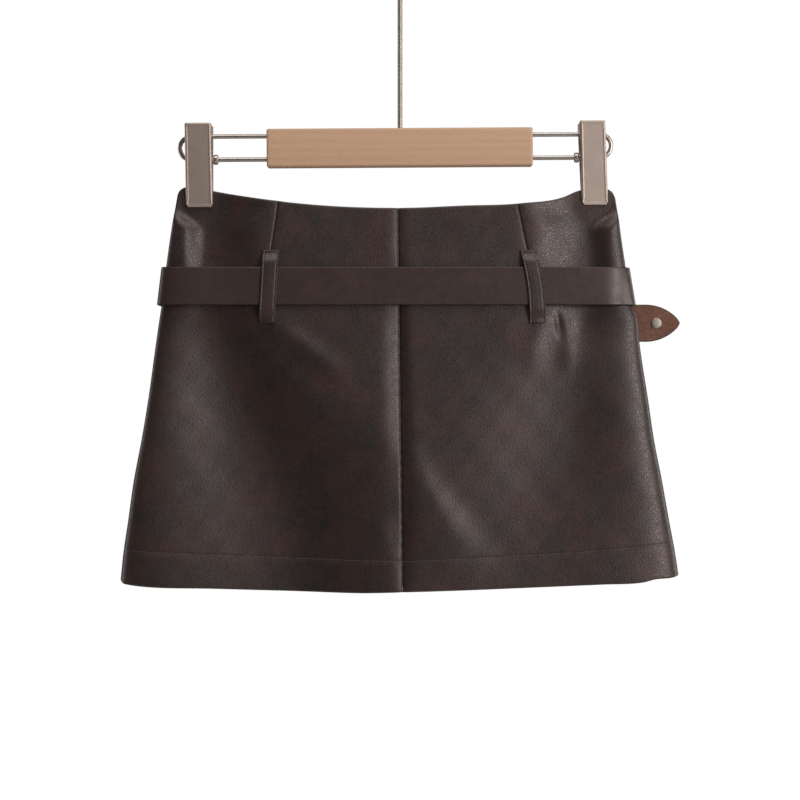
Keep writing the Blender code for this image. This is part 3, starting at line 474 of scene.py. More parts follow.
def cloud_group():
    """Clouded dye: broad patches and small flecks of noise, each as a mask from 0 to 1."""
    group, takes, gives = new_group(
        "clouded_dye", {"Place": None, "Patches per metre": 30.0, "Low": 0.4, "High": 0.62},
        ["Patches", "Flecks"],
    )
    for scale, detail, label in ((1.0, 5.0, "Patches"), (6.5, 3.0, "Flecks")):
        rate = worked(group, "MULTIPLY", takes["Patches per metre"], scale)
        noise = add_node(group, "TexNoise", Vector=takes["Place"], Scale=rate, Detail=detail, Roughness=0.6)
        feed(group, gives[label],
             ranged(group, noise.outputs["Fac"], True, From_Min=takes["Low"], From_Max=takes["High"]))
    return group


PEBBLES, CLOUDS = pebble_group(), cloud_group()


def new_material(name):
    """A material, its tree and the Object coordinate."""
    material = bpy.data.materials.new(name)
    material.use_nodes = True
    return material, material.node_tree, add_node(material.node_tree, "TexCoord").outputs["Object"]


def clouded(tree, place, patches, low=0.4, high=0.62):
    """The masks of clouded dye: broad patches and small flecks."""
    clouds = add_node(tree, "Group", {"node_tree": CLOUDS}, Place=place, Patches_per_metre=patches,
                      Low=low, High=high).outputs
    return clouds["Patches"], clouds["Flecks"]


def finished(material, colour, roughness, height, strength, distance, **more):
    """The material with its colour, roughness, a bump of so many metres, and further inputs of its shader."""
    tree = material.node_tree
    bump = add_node(tree, "Bump", Height=height, Strength=strength, Distance=distance)
    inputs = {"Base Color": colour, "Roughness": roughness, "Normal": bump.outputs[0], **more}
    for name, value in inputs.items():
        feed(tree, tree.nodes["Principled BSDF"].inputs[name.replace("_", " ")], value)
    return material


LEATHER_IOR = 1.6  # a plastic or wax finish, glossier than plain cloth
GRAIN_CELLS = 520.0  # pebbles per metre
GRAIN_ROUGH, GRAIN_SMOOTH = 0.31, 0.28  # roughness outside and inside the flecks of dye
GRAIN_HOLLOW = 0.18  # more roughness between the pebbles
GRAIN_STRENGTH, GRAIN_DEPTH = 0.8, 0.00005
SEWN_MATT = 0.5  # more roughness along a sewn line


def panel_leather():
    """Pebbled, satin faux leather with olive-black and red-brown clouds, matt between its pebbles.

    It is paler where an edge or ridge is rubbed, and matt along a sewn line, where painted shade also darkens
    it.
    """
    material, tree, place = new_material("panel_leather")
    patches, flecks = clouded(tree, place, 34.0)
    pebbles = add_node(tree, "Group", {"node_tree": PEBBLES}, Place=place, Cells_per_metre=GRAIN_CELLS)
    rubbed, painted_seam_shade = (
        add_node(tree, "Attribute", {"attribute_name": label}).outputs["Fac"] for label in ("rubbed", "painted_seam_shade")
    )
    # The last layer is painted shade: near-black where the seam mask is high, standing in for the shade in
    # the seam's and darts' grooves.
    colour = layered(
        tree, (0.0200, 0.0166, 0.0138), (patches, (0.050, 0.0222, 0.0185)), (flecks, (0.036, 0.022, 0.0185)),
        (rubbed, (0.105, 0.080, 0.072)), (painted_seam_shade, (0.006, 0.005, 0.0045)),
    )
    gloss = ranged(tree, flecks, To_Min=GRAIN_ROUGH, To_Max=GRAIN_SMOOTH)
    gloss = worked(tree, "MULTIPLY_ADD", pebbles.outputs["Border"], GRAIN_HOLLOW, gloss)
    gloss = worked(tree, "MULTIPLY_ADD", painted_seam_shade, SEWN_MATT, gloss)
    return finished(material, colour, gloss, pebbles.outputs["Height"], GRAIN_STRENGTH, GRAIN_DEPTH,
                    IOR=LEATHER_IOR, Specular_Tint=(1.0, 0.86, 0.84))


def backing_knit():
    """The faux leather's inner side: a matt fine-gauge knit, with rows of loops as small dimples."""
    material, tree, place = new_material("backing_knit")
    colour = layered(tree, (0.030, 0.026, 0.024), (clouded(tree, place, 60.0)[1], (0.043, 0.037, 0.034)))
    stretched = add_node(tree, "Mapping", Vector=place, Scale=(1.0, 1.0, 0.7))
    loops = add_node(tree, "TexVoronoi", {"feature": "SMOOTH_F1"}, Vector=stretched.outputs[0],
                     Scale=1100.0, Smoothness=0.4)
    return finished(material, colour, 0.9, loops.outputs["Distance"], 0.5, 0.0002)


PANEL_LEATHER, BACKING = panel_leather(), backing_knit()
PANELS = (
    # piece, panel and side, then the flat width and length of the cut that shows, and its area, in metres
    ("back_left", "back", -1, 0.232, 0.312, 0.0646),
    ("back_right", "back", 1, 0.230, 0.310, 0.0638),
    ("front", "front", 0, 0.460, 0.312, 0.1280),
)
SEAM_SHADE, LEFT_SHADE = 0.9, 0.35  # how dark the painted shade is beside the sewn line, on the seam's right side and on its left
SEAM_RUB, EDGE_RUB = 0.3, 0.35
rows = np.concatenate([
    [0, 0.0012, 0.0028, 0.005], np.linspace(0.009, 0.985, 148), [0.99, 0.994, 0.997, 1, 1.04, 1.09, 1.16],
    [1.24, 1.34, 1.45, 1.56, 1.67, 1.78, 1.88, 1.94, 1.975, 2],
])
for name, panel, side, wide, long, area in PANELS:
    columns = cloth_columns(side)
    outer, inner = (cloth_points(panel, side, columns, rows, inset) for inset in (0.0, WALL))
    x, z = outer[..., 0], outer[..., 2]
    from_seam = x - widths(z)[0]
    near_edge = (bell(rows - 2, 0.03) + bell(rows, 0.004))[:, None]
    rubbed = np.clip(SEAM_RUB * bell(from_seam, 1.0) * (side != 0) + EDGE_RUB * near_edge, 0, 1)
    # Painted shade beside the centre seam, most on its right side, and along the right side of each dart: it
    # stands in for the shade in their grooves.
    painted_seam_shade = (side > 0) * SEAM_SHADE * bell(from_seam - 0.35, 0.75)
    painted_seam_shade = painted_seam_shade + (side < 0) * LEFT_SHADE * bell(from_seam, 0.4)
    if side:
        painted_seam_shade = painted_seam_shade + SEAM_SHADE * bell(x - dart_place(side, z) - 0.25, 0.7) * smooth((z - DART_FADES) / 6)
    solid = walled(outer, inner)
    quads = (len(rows) - 1) * (len(columns) - 1)
    finishes = np.repeat([0, 1, 0], [quads, quads, len(solid[1]) - 2 * quads])
    piece = add_piece(f"{name}_leather", solid, [PANEL_LEATHER, BACKING], [name],
                      attributes={"rubbed": rubbed, "painted_seam_shade": painted_seam_shade}, finishes=finishes)

# ---- Hem stitches
# One row of lockstitch in dark brown thread holds the turned-up hem, all round the skirt. Each stitch dips
# into the leather at both ends.
HEM_PITCH = 2.3
HEM_STITCH = 1.5
HEM_ENDS = (-212.5, 212.0)  # across, short of the side folds
THREAD_RADIUS = 0.27
THREAD_SUNK = 0.33


def unit(vectors):
    """The same directions with length 1."""
    return vectors / np.linalg.norm(vectors, axis=-1, keepdims=True)


def spokes(first, second, count):
    """So many directions, evenly round a circle: first * cos + second * sin, on an axis before the last."""
    angle = (np.arange(count) * 2 * math.pi / count)[:, None]
    return np.cos(angle) * first[..., None, :] + np.sin(angle) * second[..., None, :]


def ring_swept(rings, closed=False):
    """Points and faces of solids through rings, (stations, points, 3) or with one axis more for many solids.

    Each solid has both ends capped, or is closed into a loop.
    """
    stations, count = rings.shape[-3:-1]
    index = np.arange(rings.size // 3).reshape(-1, stations, count)
    after = np.roll(index, -1, axis=1)
    quads = stacked(index, np.roll(index, -1, axis=2), np.roll(after, -1, axis=2), after)
    if closed:
        return rings.reshape(-1, 3), quads.reshape(-1, 4).tolist()
    faces = quads[:, :-1].reshape(-1, 4).tolist() + index[:, 0, ::-1].tolist() + index[:, -1].tolist()
    return rings.reshape(-1, 3), faces


def stitch_row(centres, along, out, length):
    """Stitches as small closed tubes: one for each centre, along a unit direction and bulging outwards.

    Five rings lie at places from -1 to 1 of half its length. Each is lifted by the thread's radius *
    (1.2 cos(1.2 place) - 0.5), and has that radius * sqrt(1 - 0.9 place^2).
    """
    place = np.linspace(-1, 1, 5)[:, None]
    lift = THREAD_RADIUS * (1.2 * np.cos(place * 1.2) - 0.5)
    middle = centres[:, None] + along[:, None] * place * length / 2 + out[:, None] * lift
    thick = (THREAD_RADIUS * np.sqrt(1 - 0.9 * place**2))[..., None]
    return ring_swept(middle[:, :, None] + thick * spokes(np.cross(along, out), out, 6)[:, None])


def thread():
    """Twisted polyester thread, dark brown: fine slanting lines as bump."""
    material, tree, place = new_material("brown_thread")
    colour = layered(tree, (0.110, 0.082, 0.070), (clouded(tree, place, 120.0)[1], (0.190, 0.145, 0.125)))
    plies = add_node(tree, "TexWave", {"bands_direction": "DIAGONAL"}, Vector=place, Scale=900.0)
    return finished(material, colour, 0.55, plies.outputs["Fac"], 0.4, 0.00008)


def on_cloth(panel, x, z):
    """Points on a panel's outer face at (x, z), before any groove."""
    return stacked(x, FACING[panel] * cloth_face(panel, x, z, share_at(x, z)), z)


def on_hem(panel, x):
    """Points on the line of the hem's stitches."""
    return on_cloth(panel, x, spline(HEM_STITCHES, 1, x))


def outwards(panel, x, z, step=0.5):
    """The unit normal of a panel's outer face, from two small steps along it."""
    across = on_cloth(panel, x + step, z) - on_cloth(panel, x - step, z)
    up = on_cloth(panel, x, z + step) - on_cloth(panel, x, z - step)
    return unit(np.cross(across, up) * -FACING[panel])


THREAD = thread()
for panel in FACING:
    fine = np.linspace(*HEM_ENDS, 4000)
    along = distances(on_hem(panel, fine))
    x = np.interp(np.arange(1.0, along[-1] - 1, HEM_PITCH), along, fine)
    out = outwards(panel, x, spline(HEM_STITCHES, 1, x))
    run = unit(on_hem(panel, x + 0.3) - on_hem(panel, x - 0.3))
    row = stitch_row(on_hem(panel, x) - THREAD_SUNK * out, run, out, HEM_STITCH)
    add_piece(f"hem_stitches_{panel}", row, [THREAD])

# ---- Under-shorts
# Two legs of dark stretch knit, each one layer, open at the middle down to the crotch and a tube below it.
# They hang inside the skirt, and only their hems show, from below.
LINING = 1.0  # the knit's thickness
SHORTS_TOP, CROTCH, SHORTS_HEM = -243.0, -464.0, -494.0
SHORTS_TURNED = 18.0  # the height of their turned-up hems
LEG_GAP = 1.2
SHORTS_SIDE = 12.0  # how far inside the skirt's side folds they are at the top, and inside its faces
SHORTS_UNDER = 2.1
SHORTS_FREE = 3.5  # how much further inside its faces they hang below, and how much nearer its side folds
SHORTS_WIDER = 3.0
SHORTS_EASE = 60.0
SHORTS_SOFT = 0.35  # height of their soft waves
SHORTS_EDGE, SHORTS_LINE, SHORTS_REACH = 0.35, 0.25, 0.8  # how deep its edge and its stitched line lie
RIB_PITCH = 1.1


def leg_points(side, share, z, inset):
    """One leg's points round its back, side and front, on the leg's outer face moved in by inset.

    x = inner edge + share * width, and y follows the skirt's own section a little further in.
    """
    lower = smooth((SHORTS_TOP - SHORTS_SIDE - z) / SHORTS_EASE)
    sideways = SHORTS_SIDE - SHORTS_WIDER * lower + inset
    inwards = SHORTS_UNDER + SHORTS_FREE * lower
    near = LEG_GAP + inset
    seam, left, right = widths(z)
    x = seam + side * (near + ((left if side < 0 else right) - sideways - near) * share)
    soft = SHORTS_SOFT * lower * np.sin(x / 11.0 + z / 31.0) * np.sin(z / 19.0)
    edge = SHORTS_EDGE * bell(z - SHORTS_HEM, SHORTS_REACH)
    edge = edge + SHORTS_LINE * bell(z - SHORTS_HEM - SHORTS_TURNED, SHORTS_REACH)
    back, front = (
        (np.maximum(section_depth(panel, x, z) - inwards + soft, LINING + GAP) - inset - edge * (inset == 0))
        * oval(share)
        for panel in FACING
    )
    return np.concatenate([stacked(x, -back, z), stacked(x, front, z)[:, -2::-1]], axis=1)


def stretch_knit():
    """Fine ribbed stretch knit, matt: ribs follow the rib attribute, and courses cross them."""
    material, tree, place = new_material("stretch_knit")
    colour = layered(tree, (0.017, 0.0145, 0.0135), (clouded(tree, place, 40.0)[1], (0.025, 0.021, 0.020)))
    ribs = worked(tree, "SINE", add_node(tree, "Attribute", {"attribute_name": "rib"}).outputs["Fac"])
    height = add_node(tree, "SeparateXYZ", Vector=place).outputs["Z"]
    courses = worked(tree, "SINE", worked(tree, "MULTIPLY", height, 9000.0))
    return finished(material, colour, 0.92, worked(tree, "MULTIPLY_ADD", courses, 0.4, ribs), 0.5, 0.00012)


KNIT = stretch_knit()
share = oval_columns(64)
above, below = np.linspace(SHORTS_TOP, CROTCH, 90), np.linspace(CROTCH, SHORTS_HEM, 26)[1:]
z = np.concatenate([above, below])[:, None] + 0 * share
for name, side in (("shorts_left", -1), ("shorts_right", 1)):
    outer, inner = (leg_points(side, share, z, inset) for inset in (0, LINING))
    index = np.arange(outer.size // 3).reshape(outer.shape[:2])[len(above) - 1:]
    thigh = stacked(index[:-1, -1], index[:-1, 0], index[1:, 0], index[1:, -1])
    step = np.linalg.norm(np.diff(outer[:, :, :2], axis=1), axis=2)
    rib = np.pad(np.cumsum(step, axis=1), ((0, 0), (1, 0))) * 2 * math.pi / RIB_PITCH
    piece = add_piece(f"{name}_knit", walled(outer, inner, thigh), [KNIT], [name],
                      attributes={"rib": [rib, rib]})

# ---- Belt
# One strap of smooth bonded leather, about 1 m long. It is folded round the buckle's heel bar at the front
# and goes once round the hips, back through the buckle and on, out past the right side with its pointed end.
BELT_HEIGHT = -284.0
BELT_WIDTH = 29.4
BELT = 2.2  # the strap's thickness
BELT_CLEARANCE = 0.6  # from the cloth's fullest to the strap
BELT_ROUND = 12.0  # exponent of its own oval, blunter at the side folds than the cloth
BELT_DIPS = (
    # on the back: across, reach towards -X, reach towards +X, depth (below 0: it stands out)
    (-184, 30, 36, -3.5),
    (150, 50, 30, 0.8),
    (176.5, 8.5, 7, 3.4),
)
BELT_EDGE = 0.75  # radius of its edges
BELT_FLAT, CORNER_STEPS = 12, 5  # points across a face of its section and round a corner
BUCKLE_BAR = 1.5  # radius of the frame's wire
BUCKLE_HEEL = -14.0  # the bar that the strap is folded round
BUCKLE_LENGTH = 24.0
BUCKLE_LIFT = 1.6  # how much further out its far bar is than the heel bar
PRONG = 1.1  # radius of the prong
PRONG_SLOTS = (
    # from the heel bar: across, and out from the belt's inner face
    (-4.3, 4, 5, 8.2),
    (-15.5, -4.4, 2.6, 11.5),
)
FOLDED_BACK = (
    # the strap's folded end, from the heel bar on: across, and its middle out from the belt's inner face
    (-8.0, 6.6), (-1.0, 5.2), (7.0, 4.0), (15.0, 3.7), (22.0, 3.2), (30.0, 1.9), (38.0, BELT / 2),
)
THROUGH_BUCKLE = (
    # the strap over the far bar, under the prong and over the folded end, given in the same way
    (-64, 1.1), (-52, 1.2), (-44, 1.5), (-38, 2.3), (-32, 4), (-26, 6.6), (-21, 8.7),
    (-17, 9.8), (-13, 10.1), (-8, 9.9), (-2, 9.1), (6, 7.8), (16, 7.3), (28, 7.4), (42, 7.6),
)
RING_BREAKS = (-72.0, 46.0)  # across on the front, where the ring round the hips ends and starts
TAIL_OUT = 7.8  # its middle out from the belt's inner face
TAIL_DROP, TAIL_BENDS, TAIL_EASE = -27.4, -8.0, 168.0  # how far it drops, and from where and over what length
TAIL_STRAIGHT = 52.0  # from where it only follows the front's curve
TAIL_LEAVES, TAIL_BACK = 118.0, 6.0  # where it leaves the front's curve, and how far back its tip is
TAIL_TIP = 220.6
TIP_LENGTH = 28.0
TIP_ROUND = 2.2  # how far the point is rounded back


def arc(x, y, radius, turn):
    """Points round a centre: centre + radius * (cos, sin)."""
    return stacked(x + radius * np.cos(turn), y + radius * np.sin(turn))


def belt_dip(x):
    """How far the belt sags in at the side folds of the back: a bell with unlike sides at each dip."""
    return sum(depth * bell(x - middle, np.where(x < middle, before, after))
               for middle, before, after, depth in BELT_DIPS)


def belt_face(x, z, panel):
    """How far the belt's inner face is from the middle plane: a blunter section with no folds."""
    dip = belt_dip(x) if panel == "back" else 0
    return (fullness(panel, z) + BELT_CLEARANCE - dip) * oval(share_at(x, z, BELT_CLEARANCE), BELT_ROUND)


def belt_ring(z):
    """The belt's inner line at a height, from the front's middle round the right, back and left."""
    share = oval_columns(60, 3, BELT_ROUND)
    deep = oval(share, BELT_ROUND)
    seam, left, right = widths(z)
    right_x = seam + (right + BELT_CLEARANCE) * share
    left_x = seam - (left + BELT_CLEARANCE) * share
    back, front = (fullness(panel, z) + BELT_CLEARANCE for panel in FACING)
    return np.concatenate([
        stacked(right_x, front * deep), stacked(right_x, (belt_dip(right_x) - back) * deep)[-2::-1],
        stacked(left_x, (belt_dip(left_x) - back) * deep)[1:], stacked(left_x, front * deep)[-2::-1],
    ])


def on_front(stations, z):
    """Stations given as (across, out from the front of the belt) as points (x, y)."""
    x, out = np.transpose(stations)
    return stacked(x, belt_face(x, z, "front") + out)


def strap_edge(z):
    """The strap's middle line at a height, as (x, y), and at which of its points the tail starts."""
    bend = BUCKLE_BAR + GAP + BELT / 2
    nose = arc(BUCKLE_HEEL, BELT / 2 + bend, bend, np.radians(np.linspace(-90, -270, 19)))
    folded = np.concatenate([[(16.0, BELT / 2), (2.0, BELT / 2)], nose, FOLDED_BACK])
    ring, (x, y) = belt_ring(z), belt_ring(BELT_HEIGHT).T
    along = unit(np.gradient(ring, axis=0))
    ring = ring + BELT / 2 * stacked(-along[:, 1], along[:, 0])
    first_half = np.arange(len(x)) < len(x) // 2
    at_left, at_right = RING_BREAKS
    on_ring = (y < 0) | np.where(first_half, x > at_right, x < at_left)
    run = np.concatenate([np.linspace(TAIL_STRAIGHT, TAIL_TIP - TIP_LENGTH, 12), [TAIL_TIP - 12, TAIL_TIP]])
    held = belt_face(np.minimum(run, TAIL_LEAVES), BELT_HEIGHT, "front") + TAIL_OUT
    tail = stacked(run, held - np.interp(run, [TAIL_LEAVES, TAIL_TIP], [0, TAIL_BACK]))
    line = np.concatenate([on_front(folded, z), ring[on_ring], on_front(THROUGH_BUCKLE, z), tail])
    return line, len(folded) + on_ring.sum()


def tip_half_width(from_tip):
    """Half the strap's width near its pointed end, where each side is an arc tangent to the strap's edge.

    The point itself is rounded: the last stretch is narrowed by sqrt(1 - (1 - distance / stretch)^2).
    """
    half = BELT_WIDTH / 2
    radius = (TIP_LENGTH**2 + half**2) / (2 * half)
    inside = np.clip(TIP_LENGTH - from_tip - TIP_ROUND / 2, 0, TIP_LENGTH)
    pointed = np.sqrt(radius**2 - inside**2) - (radius - half)
    return np.maximum(pointed * arched(from_tip / TIP_ROUND), 0.5)


def quarter(count):
    """So many angles from 0 to a right angle."""
    return np.radians(np.linspace(0, 90, count))


def strap_profile(half_thick, corner, flat):
    """A strap's closed section, clockwise from its outer face: (share across, past the edge, out).

    A point lies share * half width + past the edge from the middle. The faces are flat and each edge is a
    quarter arc of the corner's radius from either face, with a flat stretch between them if any is left.
    """
    turn = quarter(CORNER_STEPS)
    edge = stacked(1, corner * (np.sin(turn) - 1), half_thick - corner * (1 - np.cos(turn)))
    top = stacked(np.linspace(-1, 1, flat + 2)[1:-1], 0, half_thick)
    half = np.concatenate([top, edge, edge[::-1] * (1, 1, -1)])
    return np.concatenate([half, top[::-1] * (1, 1, -1), edge * (-1, -1, -1), edge[::-1] * (-1, -1, 1)])


def carve(piece, low, high):
    """Cuts a box, given by its corners in millimetres, out of a piece for good."""
    (x0, y0, z0), (x1, y1, z1) = low, high
    ring = [(x0, y0), (x1, y0), (x1, y1), (x0, y1)]
    box = ring_swept(np.array([[(x, y, z) for x, y in ring] for z in (z0, z1)]))
    cutter = put_in_scene("cutter", new_mesh("cutter", *box))
    boolean = piece.modifiers.new("cut", "BOOLEAN")
    boolean.operation = "DIFFERENCE"
    boolean.object = cutter
    bpy.context.view_layer.update()
    whole = bpy.data.meshes.new_from_object(piece.evaluated_get(bpy.context.evaluated_depsgraph_get()))
    piece.modifiers.clear()
    piece.data = whole
    bpy.data.objects.remove(cutter)


def belt_leather():
    """Smooth bonded leather, red-brown and satin, with a close fine grain and slow clouds of dye."""
    material, tree, place = new_material("belt_leather")
    patches, flecks = clouded(tree, place, 22.0, 0.35, 0.66)
    pebbles = add_node(tree, "Group", {"node_tree": PEBBLES}, Place=place, Cells_per_metre=1500.0)
    colour = layered(tree, (0.038, 0.021, 0.0165), (patches, (0.050, 0.026, 0.0215)),
                     (flecks, (0.044, 0.0235, 0.019)))
    gloss = ranged(tree, flecks, To_Min=0.42, To_Max=0.35)
    return finished(material, colour, gloss, pebbles.outputs["Height"], 0.35, 0.00004,
                    IOR=LEATHER_IOR, Specular_Tint=(1.0, 0.88, 0.86))


def flesh_side():
    """The strap's inner side: tan brown, napped and matt, with fine fibres and darker handling marks."""
    material, tree, place = new_material("flesh_side")
    patches, flecks = clouded(tree, place, 70.0, 0.4, 0.66)
    colour = layered(tree, (0.180, 0.076, 0.046), (patches, (0.245, 0.108, 0.068)),
                     (flecks, (0.155, 0.066, 0.041)))
    nap = add_node(tree, "TexNoise", Vector=place, Scale=1900.0, Detail=4.0, Roughness=0.7)
    return finished(material, colour, 0.78, nap.outputs["Fac"], 0.6, 0.00012)


def painted_edge():
    """The strap's edges: dark brown edge paint, slightly uneven and glossy."""
    material, tree, place = new_material("painted_edge")
    colour = layered(tree, (0.022, 0.014, 0.012), (clouded(tree, place, 90.0)[0], (0.040, 0.025, 0.021)))
    drips = add_node(tree, "TexNoise", Vector=place, Scale=700.0, Detail=3.0)
    return finished(material, colour, 0.35, drips.outputs["Fac"], 0.4, 0.0001)


upper, tail_start = strap_edge(BELT_HEIGHT + BELT_WIDTH / 2)
lower, _ = strap_edge(BELT_HEIGHT - BELT_WIDTH / 2)
tail_line = upper[tail_start:]
along = distances((upper + lower) / 2)
fold_end = along[25]
stations = np.arange(0, along[-1], 1.5)
stations = np.sort(np.concatenate([stations[stations > fold_end], np.linspace(0, fold_end, 60),
                                   along[-1] - np.array([0, 0.15, 0.4, 0.8])]))
upper, lower = (
    stacked(*(spline(np.column_stack([along, edge]), column, stations) for column in (1, 2)))
    for edge in (upper, lower)
)
middle = (upper + lower) / 2
run = unit(np.gradient(middle, axis=0))
out = stacked(-run[:, 1], run[:, 0])
in_tail = stations >= along[tail_start]
sag = np.where(in_tail, TAIL_DROP * smooth((middle[:, 0] - TAIL_BENDS) / TAIL_EASE), 0)
half = np.where(in_tail, tip_half_width(TAIL_TIP - middle[:, 0]), BELT_WIDTH / 2)
profile = strap_profile(BELT / 2, BELT_EDGE, BELT_FLAT)
across = profile[:, 0] * half[:, None] + profile[:, 1] * np.minimum(half / 4, 1)[:, None]
lean = (across / (BELT_WIDTH / 2) + 1)[..., None] / 2
place = lower[:, None] + lean * (upper - lower)[:, None] + profile[:, 2][:, None] * out[:, None]
rings = np.concatenate([place, (BELT_HEIGHT + sag[:, None] + across)[..., None]], axis=-1)
face, edge = BELT_FLAT + 1, 2 * CORNER_STEPS - 1
which = np.repeat([0, 2, 1, 2, 0], [face, edge - 1, face, edge, 1])
belt = add_piece("belt_strap", ring_swept(rings), [belt_leather(), flesh_side(), painted_edge()],
                 ["belt"], finishes=np.append(np.tile(which, len(stations) - 1), [2, 2]))
heel = belt_face(BUCKLE_HEEL, BELT_HEIGHT, "front")
slot = PRONG + 2 * GAP
for x0, x1, y0, y1 in PRONG_SLOTS:
    carve(belt, (BUCKLE_HEEL + x0, heel + y0, BELT_HEIGHT - slot),
          (BUCKLE_HEEL + x1, heel + y1, BELT_HEIGHT + slot))

# ---- Rivet
# A small domed rivet of dull nickel holds the strap's lining and face together near the tip. Its shank goes
# through the strap, and both heads press into it.
RIVET_PLACE = 202.2
RIVET_HEAD = 4.2
RIVET_DOME = 1.0
RIVET_SHANK = 1.3
RIVET_RIM, RIVET_LIP = 0.3, 0.1  # height of its heads' rims, and how far they draw in underneath
RIVET_PRESSED = 0.05  # how far both heads press into the strap


def nickel(name, smoothest, roughest, dull, bright):
    """Satin champagne nickel plate: fine brush lines up and down, smears of gloss and faint patches."""
    material, tree, place = new_material(name)
    patches, flecks = clouded(tree, place, 45.0, 0.3, 0.75)
    stretched = add_node(tree, "Mapping", Vector=place, Scale=(1.0, 1.0, 0.05))
    brushed = add_node(tree, "TexNoise", Vector=stretched.outputs[0], Scale=5200.0, Detail=3.0)
    return finished(material, layered(tree, dull, (patches, bright)),
                    ranged(tree, flecks, To_Min=smoothest, To_Max=roughest),
                    brushed.outputs["Fac"], 0.12, 0.00005, Metallic=1.0)


def turned(axis_points, radii, direction, sides):
    """Rings round an axis that is not upright: centre + radius * (cos, sin) in the plane across it."""
    first = unit(np.cross(direction, (0, 0, 1)))
    return axis_points[:, None] + radii[:, None, None] * spokes(first, np.cross(direction, first), sides)


NICKEL = nickel("champagne_nickel", 0.30, 0.34, (0.54, 0.47, 0.42), (0.58, 0.505, 0.455))
DULL_NICKEL = nickel("dull_nickel", 0.46, 0.54, (0.40, 0.345, 0.295), (0.48, 0.41, 0.355))
rise = np.radians(np.linspace(88, 0, 11))
dome = stacked(BELT / 2 + RIVET_RIM + RIVET_DOME * np.sin(rise) ** 0.6, RIVET_HEAD * np.cos(rise) ** 0.8)
under = BELT / 2 - RIVET_PRESSED
skirt = np.array([(under, RIVET_HEAD - RIVET_LIP), (under, RIVET_SHANK)])
profile = np.concatenate([dome * (-1, 1), skirt * (-1, 1), skirt[::-1], dome[::-1]])
centres = stacked(RIVET_PLACE, np.interp(RIVET_PLACE, *tail_line.T) + profile[:, 0], BELT_HEIGHT + TAIL_DROP)
rivet = ring_swept(turned(centres, profile[:, 1], (0, 1, 0), 40))
add_piece("tail_rivet_domed", rivet, [DULL_NICKEL], ["tail_rivet"])

# ---- Buckle
# A plain pin buckle bent from 3 mm wire, at the middle of the front. The strap's end is folded round its heel
# bar, and the prong is hooked on the same bar and lies across the frame.
PRONG_LINE = (
    # across from the heel bar, out from the heel bar's middle
    (0, 2.95), (-4, 3), (-8, 3.1), (-12, 3.8), (-16, 4.4), (-20, 4.6), (-24, 4.5), (-27, 4),
)
PRONG_HOOK = 2.95  # radius of its bend round the heel bar
PRONG_REACH = -26.2
PRONG_TAPERS, PRONG_TAPER, PRONG_THINNER = 18, 10, 0.35  # from where and over what length, and by what share
FRAME_CORNER = 2.4


def rod(path, radius, sides=20):
    """A round bar along a path: rings across the tangent, of one radius or one for each point.

    Three more rings at each end shrink as radius * cos and move on by radius * sin, so the end is a dome.
    """
    radii = radius + np.zeros(len(path))
    tangent = unit(np.gradient(path, axis=0))
    close = np.radians([30.0, 60.0, 85.0])
    ahead = path[-1] + radii[-1] * np.sin(close)[:, None] * tangent[-1]
    behind = path[0] - radii[0] * np.sin(close[::-1])[:, None] * tangent[0]
    path = np.concatenate([behind, path, ahead])
    radii = np.concatenate([radii[0] * np.cos(close[::-1]), radii, radii[-1] * np.cos(close)])[:, None, None]
    tangent = np.pad(tangent, ((3, 3), (0, 0)), mode="edge")
    beside = unit(np.cross(tangent, np.eye(3)[np.argmin(np.ptp(path, axis=0))]))
    return ring_swept(path[:, None] + radii * spokes(beside, np.cross(tangent, beside), sides))


heel_y = heel + BELT + GAP + BUCKLE_BAR
far_x, far_y = BUCKLE_HEEL - BUCKLE_LENGTH, heel_y + BUCKLE_LIFT
corners = []
for x_end, z_end, start in ((1, 1, 0.0), (0, 1, 0.5), (0, -1, 1.0), (1, -1, 1.5)):
    turn = quarter(10) + start * math.pi
    across = BUCKLE_LENGTH - FRAME_CORNER if x_end else FRAME_CORNER
    corners.append(arc(across, BELT_HEIGHT + z_end * BELT_WIDTH / 2, FRAME_CORNER, turn) / (BUCKLE_LENGTH, 1))
outline = np.concatenate(corners)
ahead = np.roll(outline, -1, axis=0) - outline
outline = np.concatenate([point + np.linspace(0, 1, 6)[:5 if wide else 1, None] * step for point, step, wide
                          in zip(outline, ahead, np.linalg.norm(ahead, axis=1) > 0.3)])
share, height = outline.T
tilt = belt_face(BUCKLE_HEEL, height, "front") - heel
path = stacked(far_x + share * BUCKLE_LENGTH, far_y + share * (heel_y - far_y) + tilt, height)
tangent = unit(np.roll(path, -1, axis=0) - np.roll(path, 1, axis=0))
plane = unit(np.cross((BUCKLE_LENGTH, heel_y - far_y, 0), (0, 0, 1)))
rings = path[:, None] + BUCKLE_BAR * spokes(np.cross(tangent, plane), plane, 20)
add_piece("buckle_frame_wire", ring_swept(rings, closed=True), [NICKEL], ["buckle_frame"])

at = np.linspace(0, PRONG_REACH, 40)
turn = np.radians(np.linspace(-60, 80, 14))
hooked = stacked(*arc(BUCKLE_HEEL, heel_y, PRONG_HOOK, turn).T, BELT_HEIGHT)
straight = stacked(BUCKLE_HEEL + at, heel_y + spline(PRONG_LINE, 1, at), BELT_HEIGHT)
thick = PRONG * (1 - PRONG_THINNER * smooth((-at - PRONG_TAPERS) / PRONG_TAPER))
prong = rod(np.concatenate([hooked, straight]), np.concatenate([0 * turn + PRONG, thick]))
add_piece("buckle_prong_pin", prong, [NICKEL], ["buckle_prong"])

